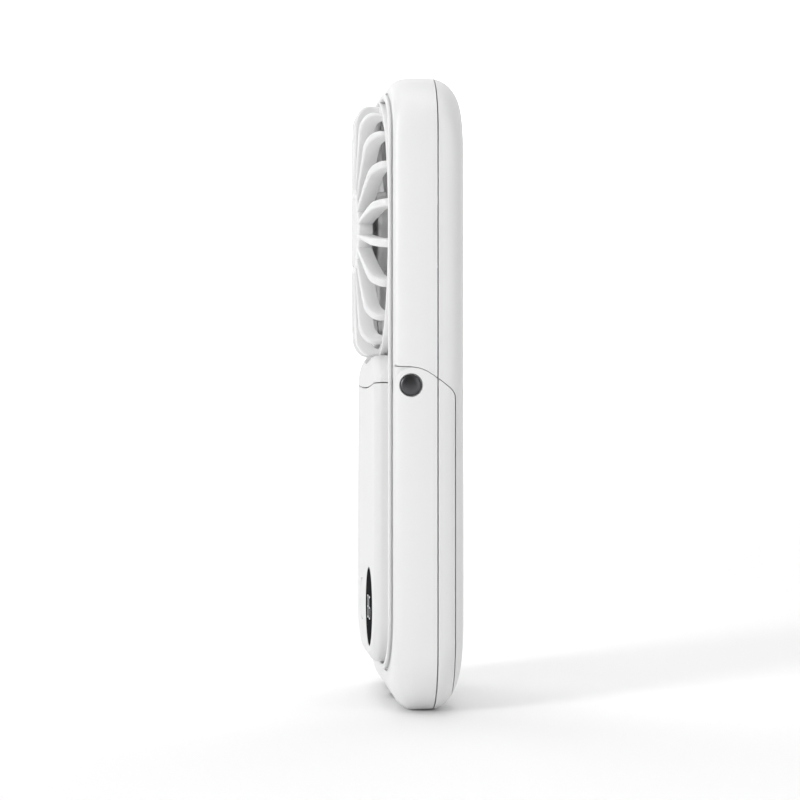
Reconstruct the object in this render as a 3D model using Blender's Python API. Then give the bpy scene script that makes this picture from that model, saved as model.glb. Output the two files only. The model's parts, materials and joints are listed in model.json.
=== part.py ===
import math

import bmesh
import bpy
from mathutils import Matrix, Vector

MM = 0.001
TURN = 2 * math.pi
QUARTER = math.pi / 2
FINE, MIDDLE, COARSE, SMALL = 48, 32, 18, 10
CORNER_STEPS = 8

# Case, with depths measured back from the front edge of the shells
HEIGHT = 156 * MM
HALF_WIDTH = 37.5 * MM
BODY_DEPTH = 17.4 * MM
GRILLE_PROUD = 7.1 * MM
EDGE_Y = (GRILLE_PROUD - BODY_DEPTH) / 2
GAP = 0.3 * MM
HALF_GAP = GAP / 2
PAST = 20 * MM
CASE_CORNER = (22 * MM, 16 * MM, 14 * MM)
FRONT_SIDE = (1.5 * MM, 8 * MM)
FRONT_TOP = (2.3 * MM, 4 * MM)
FRONT_CHIN = (8.7 * MM, 5.5 * MM)
REAR_ROUND = 7.7 * MM
REAR_START = BODY_DEPTH - REAR_ROUND
REAR_SIDE = 5 * MM
REAR_END = 13 * MM
CORNER_FOLLOW_SHARE = 0.35
COVER_DEPTH = 6.74 * MM
PARTING = BODY_DEPTH - COVER_DEPTH
BACK_THICK = 2.3 * MM
BACK_PLATE = BODY_DEPTH - BACK_THICK
WALL = 1.6 * MM

# Front opening, with the chassis rim standing in it
SIDE_WALL = 2.9 * MM
TOP_WALL = 2.4 * MM
BAR_HEIGHT = 8.2 * MM
OPENING_HALF = HALF_WIDTH - SIDE_WALL
OPENING_TOP = HEIGHT - TOP_WALL
OPENING_CORNER = (22 * MM, 15 * MM, 13 * MM)
RIM_WALL = 1.3 * MM
RIM_PROUD = 1.1 * MM
DECK = (0.8 * MM, 2.2 * MM)
DECK_CORNER = (6 * MM, 5 * MM, 5 * MM)
TRAY_DEPTH = BACK_PLATE - HALF_GAP

# Grille, duct and turning fan, all round one axis
FAN_MARGIN = 0.6 * MM
GRILLE_RADIUS = OPENING_HALF - GAP - RIM_WALL - FAN_MARGIN
LIP_RADIUS = GRILLE_RADIUS + 2 * FAN_MARGIN
FAN_Z = OPENING_TOP - GAP - LIP_RADIUS
GRILLE_FRONT = -GRILLE_PROUD
GRILLE_SHOULDER = (5 * MM, 3.6 * MM)
GRILLE_BASE = (-1 * MM, 0.9 * MM)
RIB_COUNT = 20
RIB_DEPTH = 3.8 * MM
RIB_THIN = 0.8 * MM
RIB_THICK = 2.1 * MM
RIB_END = GRILLE_BASE[0] + RIB_THIN / 2
RING_WALL = 1.9 * MM
BASE_INNER = GRILLE_RADIUS - RING_WALL
HUB_RADIUS = 11 * MM
HUB_WALL = 1.9 * MM
HUB_RING = 1.6 * MM
HUB_ROUND = 0.7 * MM
RIB_ROOT = HUB_RADIUS - HUB_RING / 2
CAP_RADIUS = HUB_RADIUS - HUB_RING - RIB_THIN
CAP_DEPTH = 0.9 * MM
CROWN_RADIUS = 300 * MM
CROWN_FULL = GRILLE_FRONT + GRILLE_SHOULDER[1]
CROWN_NONE = GRILLE_BASE[0] + RIB_THIN
LEDGE_DEPTH = GRILLE_BASE[1] + GAP
DUCT_WALL = 1.2 * MM
DUCT_INNER = GRILLE_RADIUS - RING_WALL + HALF_GAP
DUCT_OUTER = DUCT_INNER + DUCT_WALL
DUCT_END = PARTING - HALF_GAP
POST_RADIUS = 2.4 * MM
POST_REACH = LIP_RADIUS + POST_RADIUS + GAP
POST_HOLE = 0.9 * MM
POST_BLIND = 4 * MM
BLADE_COUNT = 7
BLADE_CLEAR = 1.1 * MM
BLADE_RADIUS = DUCT_INNER - BLADE_CLEAR
BLADE_FRONT = 0.4 * MM
BLADE_REAR = DUCT_END - BLADE_CLEAR / 2
BLADE_THICK = 1.2 * MM
BLADE_PITCH = (50, 44, 38, 33, 29)
BLADE_SWEEP = (0, 3, 8, 15, 24)
BLADE_LONG_SHARES = (0.92, 1, 1, 0.94, 0.78)
CUP_RADIUS = 10.6 * MM
CUP_WALL = 1.3 * MM
CUP_FRONT = -1.6 * MM
CUP_REAR = DUCT_END - HALF_GAP
CUP_ROUND = 1.4 * MM
CUP_ROUND_SHARE = 0.3
BLADE_SECTION_SHARES = ((-1, 0), (-0.5, 0.5), (0.3, 0.5), (1, 0), (0.3, -0.5), (-0.5, -0.5))
BOSS_LONG = 2 * MM
SHAFT_RADIUS = 1 * MM
SHAFT_FRONT = -0.1 * MM
ROTOR_WALL = 0.8 * MM
ROTOR_RADIUS = CUP_RADIUS - CUP_WALL - GAP
ROTOR_FRONT = 1.9 * MM
STATOR_RADIUS = ROTOR_RADIUS - ROTOR_WALL - GAP
STATOR_FRONT = 4.4 * MM
STATOR_REAR = CUP_REAR - ROTOR_WALL
STATOR_TEETH = 9
TUBE_RADIUS = 3 * MM
TUBE_BORE = 2.2 * MM
TUBE_FRONT = 3.4 * MM
BEARING_LONG = 2.6 * MM
FIT = 0.12 * MM
LUG_THICK = 1.2 * MM
BASE_THICK = 1.6 * MM
BASE_CLEAR = 2 * MM
BRACKET = (DUCT_END + GAP, DUCT_END + GAP + LUG_THICK)
BASE_REAR = BODY_DEPTH - WALL - BASE_CLEAR
SHAFT_REAR = BASE_REAR - GAP
BASE_RADIUS = 9 * MM
SPOKE_WIDTH = 3.2 * MM
LUG_RADIUS = 3 * MM
SCREW_SHANK = 0.75 * MM
SCREW_HEAD = 1.7 * MM
SCREW_HEAD_LONG = 1.1 * MM
SCREW_LONG = 5 * MM
SCREW_SOCKET = 0.8 * MM
HEAD_EDGE_SHARE = 0.6
HEAD_TOP_SHARE = 0.8
SOCKET_SHARE = 0.4

# Rear intake
SLOT_WIDTH = 1.7 * MM
SLOT_BRIDGE = 2 * MM
OUTER_SLOTS = 30
INNER_SLOTS = 15
INTAKE_OUTER = (BLADE_RADIUS - SLOT_BRIDGE * 5, BLADE_RADIUS - SLOT_BRIDGE)
INTAKE_INNER = (HUB_RADIUS, INTAKE_OUTER[0] - SLOT_BRIDGE)

# Pivot of the swinging frame
PIVOT_BELOW_FAN = 39.6 * MM
PIVOT_DEPTH = 4.2 * MM
PIVOT_Z = FAN_Z - PIVOT_BELOW_FAN
SWEEP = PIVOT_Z - BAR_HEIGHT
SWEEP_CLEAR = 0.4 * MM
SWEEP_DEGREES = (-14, 26)
SWEEP_STEPS = 20
SWEEP_INNER = SWEEP / 2
RAIL_START = PIVOT_Z - SWEEP_INNER - WALL
EAR_RADIUS = PIVOT_DEPTH
WEB = 0.5 * MM
POCKET_RADIUS = 6.6 * MM
POCKET_DEPTH = 0.8 * MM
PIN_HEAD = 2.6 * MM
PIN_HEAD_LONG = 1.1 * MM
PIN_SHANK = 1.5 * MM
PIN_RECESS = 0.6 * MM
PIN_FACE = HALF_WIDTH - PIN_RECESS
BOSS_RADIUS = 3.2 * MM
BOSS_DEEP = 4.2 * MM
BOSS_FACE = OPENING_HALF - BOSS_DEEP
PIN_END = BOSS_FACE + RIB_THIN
WASHER_RADIUS = 4 * MM
WASHER_SEAT = 0.7 * MM
EAR_TOP = 4.5 * MM
SEAM_SHARES = (
    (-0.26, 1),
    (0, 1),
    (0.298, 0.978),
    (0.503, 0.8),
    (0.702, 0.378),
    (0.914, -0.156),
    (0.987, -0.489),
    (1, -0.8),
    (1, -1.133),
)
SEAM = [(BACK_PLATE * depth, PIVOT_Z + EAR_TOP * rise) for depth, rise in SEAM_SHARES]
SEAM_STEPS = 4
CAVITY_FLOOR = PIVOT_Z + BAR_HEIGHT / 3
TRAY_HIGH = PIVOT_Z - WALL

# Raised front skin
SKIN_MARGIN = 6 * MM
PANEL_HALF = OPENING_HALF - GAP - RIM_WALL - SKIN_MARGIN
PANEL_RISE = 2.2 * MM
PANEL_LOW = BAR_HEIGHT + PANEL_RISE
TOP_OVERLAP = 1.8 * MM
PANEL_HIGH = FAN_Z - LIP_RADIUS + TOP_OVERLAP
PANEL_CORNER = (17 * MM, 12 * MM, 6 * MM)
PANEL_FRONT = -5.45 * MM
PANEL_BACK = DECK[0] - GAP
PANEL_SHOULDER = 3.7 * MM
PANEL_INSETS = (2.8 * MM, 7.2 * MM, 4.2 * MM)
PANEL_WALL = 1.6 * MM
UPPER_PANEL = 7 * MM
PANEL_SEAM = PANEL_HIGH - UPPER_PANEL
PANEL_SEAM_DROP = 1.8 * MM
SHOULDER_STEPS = 6
SPREAD_SHARES = (0.3, 0.65, 0.97)
SPREAD_RISE_SHARE = 0.5
DECK_LEDGE = 3.5 * MM
DECK_LOW = PANEL_LOW + DECK_LEDGE
DECK_HIGH = PANEL_HIGH - DECK_LEDGE - TOP_OVERLAP
WINDOW_X = 11 * MM
WINDOW_RADIUS = 9.85 * MM
WINDOW_MARGIN = 4.05 * MM
WINDOW_Z = PANEL_LOW + WINDOW_RADIUS + WINDOW_MARGIN
WINDOW_LIP = 0.95 * MM
WINDOW_RING_SHARES = (0.6, 0.2)
WINDOW_LEDGE = WINDOW_RADIUS - WINDOW_LIP
WINDOW_THICK = 0.9 * MM
WINDOW_SEAT = 2.4 * MM
WINDOW_RIM = WINDOW_RADIUS + 1.5 * WINDOW_LIP
BUTTON_X = -WINDOW_X
BUTTON_Z = WINDOW_Z
BUTTON_RADIUS = 5.3 * MM
BUTTON_LEDGE = 1 * MM
BUTTON_FLANGE = BUTTON_RADIUS + BUTTON_LEDGE
BUTTON_STEM = 2 * MM
BUTTON_FLANGE_LONG = 0.7 * MM
BUTTON_TRAVEL = 0.5 * MM

# Electronics
MODULE_HALF = (8.2 * MM, 7.4 * MM)
MODULE_CLEAR = 1.5 * MM
DECK_HALF = WINDOW_X + MODULE_HALF[0] + MODULE_CLEAR
SCREW_EDGE = 2.5 * MM
SCREW_X = DECK_HALF + SCREW_EDGE
BOARD_HALF = SCREW_X + SCREW_EDGE
BOARD_THICK = 1.2 * MM
BOARD = (DECK[1] + GAP, DECK[1] + GAP + BOARD_THICK)
BOARD_RISE = 4.2 * MM
BOARD_LOW = BAR_HEIGHT + BOARD_RISE
BOARD_LONG = 33.6 * MM
BOARD_HIGH = BOARD_LOW + BOARD_LONG
BOARD_CORNER = (9 * MM, 7 * MM, 1 * MM)
SCREW_LOW = 8.6 * MM
BOARD_SCREWS = ((SCREW_X, BOARD_LOW + SCREW_LOW), (SCREW_X, BOARD_HIGH - 2 * SCREW_EDGE))
CHIP = 6 * MM
CHIP_SHARES = (
    (-0.29, 0.76, 1, 1, 0.18),
    (0.33, 0.7, 0.75, 0.75, 0.23),
    (0.11, 0.46, 0.83, 0.5, 0.2),
    (-0.55, 0.49, 0.5, 0.83, 0.17),
)
SWITCH_HALF = 3 * MM
SWITCH_THICK = 2.4 * MM
SWITCH = (BOARD[0] - GAP - SWITCH_THICK, BOARD[0] - GAP)
PLUNGER_RADIUS = 1.7 * MM
PLUNGER_LONG = 0.8 * MM
MODULE_THICK = 3.6 * MM
MODULE = (BOARD[0] - GAP - MODULE_THICK, BOARD[0] - GAP)
BATTERY_BEHIND = 2.7 * MM
BATTERY = (BOARD[1] + BATTERY_BEHIND, BACK_PLATE - HALF_GAP)
BATTERY_MARGIN = 9 * MM
BATTERY_HALF = BOSS_FACE - BATTERY_MARGIN
BATTERY_RISE = 25.6 * MM
BATTERY_HIGH = TRAY_HIGH - WALL
BATTERY_LOW = BAR_HEIGHT + BATTERY_RISE
BATTERY_ROUND = 2.4 * MM
PORT_HALF = 4.5 * MM
PORT_THICK = 3.2 * MM
PORT = (BOARD[1] + GAP, BOARD[1] + GAP + PORT_THICK)
PORT_RISE = 1.1 * MM
PORT_LOW = BAR_HEIGHT + PORT_RISE
PORT_LONG = 7.7 * MM
PORT_ROUND = 1.5 * MM
PORT_WALL = 0.35 * MM
PORT_DEEP = 5 * MM
PORT_MIDDLE = (0, (PORT[0] + PORT[1]) / 2)
TONGUE_HALF = 3.3 * MM
TONGUE_THICK = 0.35 * MM
PLUG_HALF = (6.4 * MM, 3.1 * MM)
LEAD_RADIUS = 0.55 * MM
LEAD_CLEAR = 2 * LEAD_RADIUS
LEAD_BESIDE = 4 * MM
LEAD_SIDE = BATTERY_HALF + LEAD_BESIDE
LEAD_BACK = BASE_REAR + LEAD_CLEAR
LEAD_LOW = BACK_PLATE - LEAD_CLEAR
LEAD_DROP = 10 * MM
LEAD_SIDES = 6

LOOKS = {
    "shell": ((0.86, 0.86, 0.86, 1), 0.28, 0),
    "skin": ((0.88, 0.88, 0.88, 1), 0.24, 0),
    "inner": ((0.78, 0.78, 0.78, 1), 0.4, 0),
    "dark_steel": ((0.09, 0.09, 0.09, 1), 0.35, 1),
    "steel": ((0.6, 0.6, 0.6, 1), 0.3, 1),
    "washer": ((0.75, 0.75, 0.72, 1), 0.5, 0),
    "black_glass": ((0.01, 0.01, 0.01, 1), 0.08, 0),
    "display": ((0.05, 0.05, 0.06, 1), 0.4, 0),
    "board": ((0.02, 0.16, 0.07, 1), 0.5, 0),
    "copper": ((0.72, 0.35, 0.18, 1), 0.35, 1),
    "cell": ((0.25, 0.33, 0.45, 1), 0.45, 0),
    "red": ((0.55, 0.03, 0.03, 1), 0.45, 0),
}


def make_collection(name):
    collection = bpy.data.collections.new(name)
    bpy.context.scene.collection.children.link(collection)
    return collection


def start_scene():
    for old in list(bpy.data.objects):
        bpy.data.objects.remove(old, do_unlink=True)
    return make_collection("usb_handheld_fan"), make_collection("cutters")


PARTS, TOOLS = start_scene()


# Points and outlines

def at(x, depth, z):
    return Vector((x, EDGE_Y + depth, z))


def outline(half_width, low, high, corner):
    """X and Z points of a rectangle with quarter ellipses as corners; corner is width, low and high rise."""
    wide, low_rise, high_rise = corner
    quarters = (
        (half_width - wide, low + low_rise, low_rise, -QUARTER),
        (half_width - wide, high - high_rise, high_rise, 0),
        (wide - half_width, high - high_rise, high_rise, QUARTER),
        (wide - half_width, low + low_rise, low_rise, 2 * QUARTER),
    )
    points = []
    for centre_x, centre_z, rise, start in quarters:
        for step in range(CORNER_STEPS + 1):
            angle = start + QUARTER * step / CORNER_STEPS
            points.append((centre_x + wide * math.cos(angle), centre_z + rise * math.sin(angle)))
    return points


def circle(centre, radius, steps=MIDDLE):
    angles = [TURN * step / steps for step in range(steps)]
    return [(centre[0] + radius * math.cos(a), centre[1] + radius * math.sin(a)) for a in angles]


def box_outline(centre, half):
    return [
        (centre[0] + side * half[0], centre[1] + rise * half[1])
        for side, rise in ((-1, -1), (1, -1), (1, 1), (-1, 1))
    ]


def smooth(points, steps):
    """A line through the points, curved by Catmull and Rom's rule."""
    line = []
    for before, start, end, after in zip(points, points[1:], points[2:], points[3:]):
        for step in range(steps):
            t = step / steps
            line.append(
                tuple(
                    0.5
                    * (
                        2 * b
                        + (c - a) * t
                        + (2 * a - 5 * b + 4 * c - d) * t**2
                        + (3 * b - a - 3 * c + d) * t**3
                    )
                    for a, b, c, d in zip(before, start, end, after)
                )
            )
    return line + [points[-2]]


def beside(line, distance):
    """The line moved sideways, to its left for a positive distance."""
    moved = []
    for i, (u, v) in enumerate(line):
        ahead = line[min(i + 1, len(line) - 1)]
        behind = line[max(i - 1, 0)]
        run, rise = ahead[0] - behind[0], ahead[1] - behind[1]
        length = math.hypot(run, rise)
        moved.append((u - distance * rise / length, v + distance * run / length))
    return moved


# Bodies: each is a row of point rings, and whether the row closes on itself

def along_y(points, front, rear):
    return [[at(x, depth, z) for x, z in points] for depth in (front, rear)], False


def along_x(points, left, right):
    return [[at(x, depth, z) for depth, z in points] for x in (left, right)], False


def along_z(points, low, high):
    return [[at(x, depth, z) for x, depth in points] for z in (low, high)], False


def stacked(centre, sizes, steps=MIDDLE):
    """A turned body about the Y direction, from pairs of radius and depth."""
    return [
        [at(x, depth, z) for x, z in circle(centre, radius, steps)] for radius, depth in sizes
    ], False


def stacked_x(centre, sizes, steps=COARSE + 4):
    """A turned body about the X direction, from pairs of radius and x."""
    return [[at(x, depth, z) for depth, z in circle(centre, radius, steps)] for radius, x in sizes], False


def turned(centre, profile, steps=FINE):
    """A ring about the Y direction, from a closed profile of radius and depth."""
    rings = []
    for step in range(steps):
        angle = TURN * step / steps
        rings.append(
            [
                at(centre[0] + r * math.cos(angle), depth, centre[1] + r * math.sin(angle))
                for r, depth in profile
            ]
        )
    return rings, True


def tube(centre, inner, outer, front, rear, steps=FINE):
    return turned(centre, [(inner, front), (outer, front), (outer, rear), (inner, rear)], steps)


def mesh_of(name, bodies):
    shape = bmesh.new()
    for rings, looped in bodies:
        rows = [[shape.verts.new(point) for point in ring] for ring in rings]
        pairs = list(zip(rows, rows[1:]))
        if looped:
            pairs.append((rows[-1], rows[0]))
        else:
            shape.faces.new(rows[0])
            shape.faces.new(rows[-1])
        for first, second in pairs:
            for i in range(len(first)):
                j = (i + 1) % len(first)
                shape.faces.new((first[i], first[j], second[j], second[i]))
    bmesh.ops.recalc_face_normals(shape, faces=shape.faces)
    mesh = bpy.data.meshes.new(name)
    shape.to_mesh(mesh)
    shape.free()
    return mesh


def look(name, kind):
    colour, roughness, metallic = LOOKS[kind]
    material = bpy.data.materials.new(name)
    material.use_nodes = True
    shader = material.node_tree.nodes["Principled BSDF"]
    shader.inputs["Base Color"].default_value = colour
    shader.inputs["Roughness"].default_value = roughness
    shader.inputs["Metallic"].default_value = metallic
    return material


def part(name, kind, *bodies):
    piece = bpy.data.objects.new(name, mesh_of(name, bodies))
    piece.data.materials.append(look(name, kind))
    PARTS.objects.link(piece)
    return piece


def tool(name, *bodies):
    cutter = bpy.data.objects.new(name, mesh_of(name, bodies))
    cutter.hide_render = True
    cutter.display_type = "WIRE"
    TOOLS.objects.link(cutter)
    return cutter


def change(piece, operation, *cutters):
    for cutter in cutters:
        step = piece.modifiers.new(cutter.name, "BOOLEAN")
        step.operation = operation
        step.solver = "EXACT"
        step.object = cutter


def place_origin(piece, point):
    piece.data.transform(Matrix.Translation(-point))
    piece.location = point


def both_sides(make):
    """The bodies that a function gives for the right side and for the left side."""
    return [make(side) for side in (1, -1)]


def crowned(piece, full=CROWN_FULL, none=CROWN_NONE):
    """Bends the front of a piece back towards its sides; points behind a depth stay where they are."""
    for vertex in piece.data.vertices:
        depth = vertex.co.y - EDGE_Y
        share = min(1, max(0, (none - depth) / (none - full)))
        vertex.co.y += share * vertex.co.x**2 / (2 * CROWN_RADIUS)


FAN = (0, FAN_Z)
PIVOT = (PIVOT_DEPTH, PIVOT_Z)
SEAM_LINE = smooth(SEAM, SEAM_STEPS)


# Case

def rounding(depth, size, length):
    """How far a quarter ellipse of this size stands in, length being its run."""
    left = min(1, max(0, 1 - depth / length))
    return size * (1 - math.sqrt(1 - left**2))


def hull_ring(depth, shrink=0):
    back = BODY_DEPTH - depth
    run = BODY_DEPTH - REAR_START
    side = rounding(depth, *FRONT_SIDE) + rounding(back, REAR_SIDE, run)
    top = rounding(depth, *FRONT_TOP) + rounding(back, REAR_END, run)
    low = rounding(depth, *FRONT_CHIN) + rounding(back, REAR_END, run)
    corner = (
        CASE_CORNER[0] - side - shrink,
        CASE_CORNER[1] - CORNER_FOLLOW_SHARE * low - shrink,
        CASE_CORNER[2] - CORNER_FOLLOW_SHARE * top - shrink,
    )
    points = outline(HALF_WIDTH - side - shrink, low + shrink, HEIGHT - top - shrink, corner)
    return [at(x, depth, z) for x, z in points]


def front_depths(end):
    """Depths that follow the front rounding closely at first."""
    steps = 7
    longest = FRONT_SIDE[1]
    depths = [longest * (1 - math.cos(QUARTER * i / steps)) for i in range(steps + 1)]
    return [depth for depth in sorted(depths + [REAR_START]) if depth < end - HALF_GAP] + [end]


def rear_depths(start):
    steps = 8
    run = BODY_DEPTH - REAR_START
    depths = [REAR_START + run * math.sin(QUARTER * i / steps) for i in range(steps + 1)]
    return [start] + [depth for depth in depths if depth > start + HALF_GAP]


def hull(depths, shrink=0):
    return [hull_ring(depth, shrink) for depth in depths], False


def region_above_seam():
    line = beside(SEAM_LINE, HALF_GAP)
    far = [
        (BACK_PLATE + HALF_GAP, -PAST),
        (BODY_DEPTH + PAST, -PAST),
        (BODY_DEPTH + PAST, HEIGHT + PAST),
        (-PAST, HEIGHT + PAST),
        (-PAST, line[0][1]),
    ]
    return along_x(line + far, -HALF_WIDTH - PAST, HALF_WIDTH + PAST)


def region_below_seam():
    line = beside(SEAM_LINE, -HALF_GAP)
    far = [(BACK_PLATE - HALF_GAP, -PAST), (-PAST, -PAST), (-PAST, line[0][1])]
    return along_x(line + far, -HALF_WIDTH - PAST, HALF_WIDTH + PAST)


def opening_outline(shrink=0):
    corner = tuple(size - shrink for size in OPENING_CORNER)
    return outline(OPENING_HALF - shrink, BAR_HEIGHT + shrink, OPENING_TOP - shrink, corner)


def pocket(side):
    inner = side * (OPENING_HALF - GAP)
    outer = side * (OPENING_HALF + POCKET_DEPTH)
    return stacked_x(PIVOT, [(POCKET_RADIUS, inner), (POCKET_RADIUS, outer)], MIDDLE)


def make_front_shell(above):
    shell = part("front_shell", "shell", hull(front_depths(PARTING - HALF_GAP)))
    opening = tool("opening_cut", along_y(opening_outline(), -PAST, PARTING + PAST))
    pockets = tool("pocket_cut", *both_sides(pocket))
    change(shell, "INTERSECT", above)
    change(shell, "DIFFERENCE", opening, pockets)


def intake_slots():
    slots = []
    for inner, outer, count in ((*INTAKE_INNER, INNER_SLOTS), (*INTAKE_OUTER, OUTER_SLOTS)):
        for index in range(count):
            angle = TURN * (index + 0.5) / count
            out = Vector((math.cos(angle), math.sin(angle)))
            across = Vector((-out.y, out.x)) * SLOT_WIDTH / 2
            ends = [out * inner - across, out * outer - across, out * outer + across, out * inner + across]
            points = [(end.x, FAN_Z + end.y) for end in ends]
            slots.append(along_y(points, PARTING, BODY_DEPTH + PAST))
    return slots


def make_rear_cover(above):
    cover = part("rear_cover", "shell", hull(rear_depths(PARTING + HALF_GAP)))
    depths = [depth for depth in rear_depths(PARTING - GAP) if depth < BODY_DEPTH - WALL]
    cavity = tool("cavity_cut", hull(depths + [BODY_DEPTH - WALL], WALL))
    room = box_outline((0, CAVITY_FLOOR), (HALF_WIDTH + PAST, HEIGHT))
    keep = [(x, max(z, CAVITY_FLOOR)) for x, z in room]
    change(cavity, "INTERSECT", tool("cavity_limit", along_y(keep, -PAST, BODY_DEPTH + PAST)))
    core = [(x, z) for x, z in box_outline((0, 0), (OPENING_HALF, CAVITY_FLOOR + GAP))]
    core_room = tool("core_room_cut", along_y(core, -PAST, BACK_PLATE + HALF_GAP))
    slots = tool("slot_cut", *intake_slots())
    change(cover, "INTERSECT", above)
    change(cover, "DIFFERENCE", cavity, core_room, slots)


# Swinging frame

def sweep_curve(radius, half):
    """X and radius about the pivot of the lower edge of the front opening."""
    wide, rise = OPENING_CORNER[0], OPENING_CORNER[1]
    points = []
    for step in range(CORNER_STEPS + 1):
        angle = QUARTER * step / CORNER_STEPS
        points.append((half - wide + wide * math.sin(angle), radius - rise * (1 - math.cos(angle))))
    return [(-x, r) for x, r in reversed(points)] + points


def swept(points):
    """Points of x and radius carried round the pivot."""
    rings = []
    for step in range(SWEEP_STEPS + 1):
        start, end = SWEEP_DEGREES
        angle = math.radians(start + (end - start) * step / SWEEP_STEPS)
        rings.append(
            [at(x, PIVOT_DEPTH + r * math.sin(angle), PIVOT_Z - r * math.cos(angle)) for x, r in points]
        )
    return rings, False


def inside_sweep():
    curve = sweep_curve(SWEEP, OPENING_HALF)
    return swept(curve + [(OPENING_HALF, SWEEP_INNER), (-OPENING_HALF, SWEEP_INNER)])


def outside_sweep():
    curve = sweep_curve(SWEEP - SWEEP_CLEAR, OPENING_HALF - GAP)
    far_x, far_r = HALF_WIDTH + PAST, SWEEP + PAST
    side = curve[0][1]
    return swept(curve + [(far_x, side), (far_x, far_r), (-far_x, far_r), (-far_x, side)])


def ear_corner(side):
    """What lies outside the round outer layer of an ear, at its front top corner."""
    steps = 10
    points = []
    for step in range(steps + 1):
        angle = QUARTER + QUARTER * step / steps
        points.append(
            (PIVOT_DEPTH + EAR_RADIUS * math.cos(angle), PIVOT_Z + EAR_RADIUS * math.sin(angle))
        )
    far = PAST / 2
    points += [(-far, PIVOT_Z), (-far, PIVOT_Z + far), (PIVOT_DEPTH, PIVOT_Z + far)]
    return along_x(points, side * (OPENING_HALF + WEB), side * (HALF_WIDTH + PAST))


def ear_hole(side):
    shoulder = PIN_FACE - PIN_HEAD_LONG - GAP
    sizes = (
        (PIN_SHANK + GAP, OPENING_HALF - PAST / 2),
        (PIN_SHANK + GAP, shoulder),
        (PIN_HEAD + GAP, shoulder),
        (PIN_HEAD + GAP, HALF_WIDTH + PAST),
    )
    return stacked_x(PIVOT, [(radius, side * x) for radius, x in sizes])


def plug_slot():
    return along_z(box_outline(PORT_MIDDLE, PLUG_HALF), -PAST, BAR_HEIGHT + PAST)


def make_hanger(below):
    rails = box_outline((0, (RAIL_START + HEIGHT) / 2), (OPENING_HALF, (HEIGHT - RAIL_START) / 2))
    between = tool("between_rails_cut", along_y(rails, -PAST, BODY_DEPTH + PAST))
    inside = tool("inside_sweep_cut", inside_sweep())
    corners = tool("ear_corner_cut", *both_sides(ear_corner))
    holes = tool("ear_hole_cut", *both_sides(ear_hole))
    slot = tool("plug_slot_cut", plug_slot())
    front = part("hanger_front", "shell", hull(front_depths(PARTING - HALF_GAP)))
    rear_row = [depth for depth in rear_depths(PARTING + HALF_GAP) if depth < BACK_PLATE - GAP]
    rear = part("hanger_rear", "shell", hull(rear_row + [BACK_PLATE - HALF_GAP]))
    for piece in (front, rear):
        change(piece, "INTERSECT", below)
        change(piece, "DIFFERENCE", inside, between)
        place_origin(piece, at(0, *PIVOT))
    change(front, "DIFFERENCE", corners, holes, slot)


def make_pins():
    for side, name in ((1, "right"), (-1, "left")):
        head = PIN_FACE - PIN_HEAD_LONG
        sizes = ((PIN_SHANK, PIN_END), (PIN_SHANK, head), (PIN_HEAD, head), (PIN_HEAD, PIN_FACE))
        part(f"pivot_pin_{name}", "dark_steel", stacked_x(PIVOT, [(r, side * x) for r, x in sizes]))
        inner = OPENING_HALF - GAP - WASHER_SEAT + HALF_GAP
        outer = OPENING_HALF - HALF_GAP
        washer = part(
            f"friction_washer_{name}",
            "washer",
            stacked_x(PIVOT, [(WASHER_RADIUS, side * inner), (WASHER_RADIUS, side * outer)]),
        )
        radius = PIN_SHANK + HALF_GAP
        hole = [(radius, side * (inner - WALL)), (radius, side * (outer + WALL))]
        change(washer, "DIFFERENCE", tool(f"washer_bore_{name}", stacked_x(PIVOT, hole)))


# Chassis

def post_places():
    reach = POST_REACH * math.cos(math.radians(45))
    return [(x * reach, FAN_Z + z * reach) for x, z in ((1, 1), (-1, 1), (-1, -1), (1, -1))]


def board_places():
    return [(side * x, z) for x, z in BOARD_SCREWS for side in (1, -1)]


def chassis_boss(side):
    overlap = OPENING_HALF - GAP - RIM_WALL / 2
    return stacked_x(PIVOT, [(BOSS_RADIUS, side * BOSS_FACE), (BOSS_RADIUS, side * overlap)])


def washer_seat(side):
    face = OPENING_HALF - GAP
    radius = WASHER_RADIUS + HALF_GAP
    return stacked_x(PIVOT, [(radius, side * (face - WASHER_SEAT)), (radius, side * (face + PAST))])


def pin_bore(side):
    radius = PIN_SHANK + HALF_GAP
    return stacked_x(PIVOT, [(radius, side * (BOSS_FACE - WALL)), (radius, side * (HALF_WIDTH + PAST))])


def post_holes():
    deep = [(place, POST_BLIND) for place in post_places()]
    through = [(place, DECK[0] + HALF_GAP) for place in board_places()]
    holes = []
    for place, front in deep + through:
        holes.append(stacked(place, [(POST_HOLE, front), (POST_HOLE, BODY_DEPTH)], SMALL))
    return holes


def fan_bore():
    sizes = (
        (GRILLE_RADIUS + GAP, -PAST),
        (GRILLE_RADIUS + GAP, LEDGE_DEPTH),
        (DUCT_INNER, LEDGE_DEPTH),
        (DUCT_INNER, BODY_DEPTH + PAST),
    )
    return stacked(FAN, sizes, FINE)


def port_opening():
    half = (PORT_HALF + GAP, PORT_THICK / 2 + GAP)
    return along_z(box_outline(PORT_MIDDLE, half), -PAST, BOARD_LOW)


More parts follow.
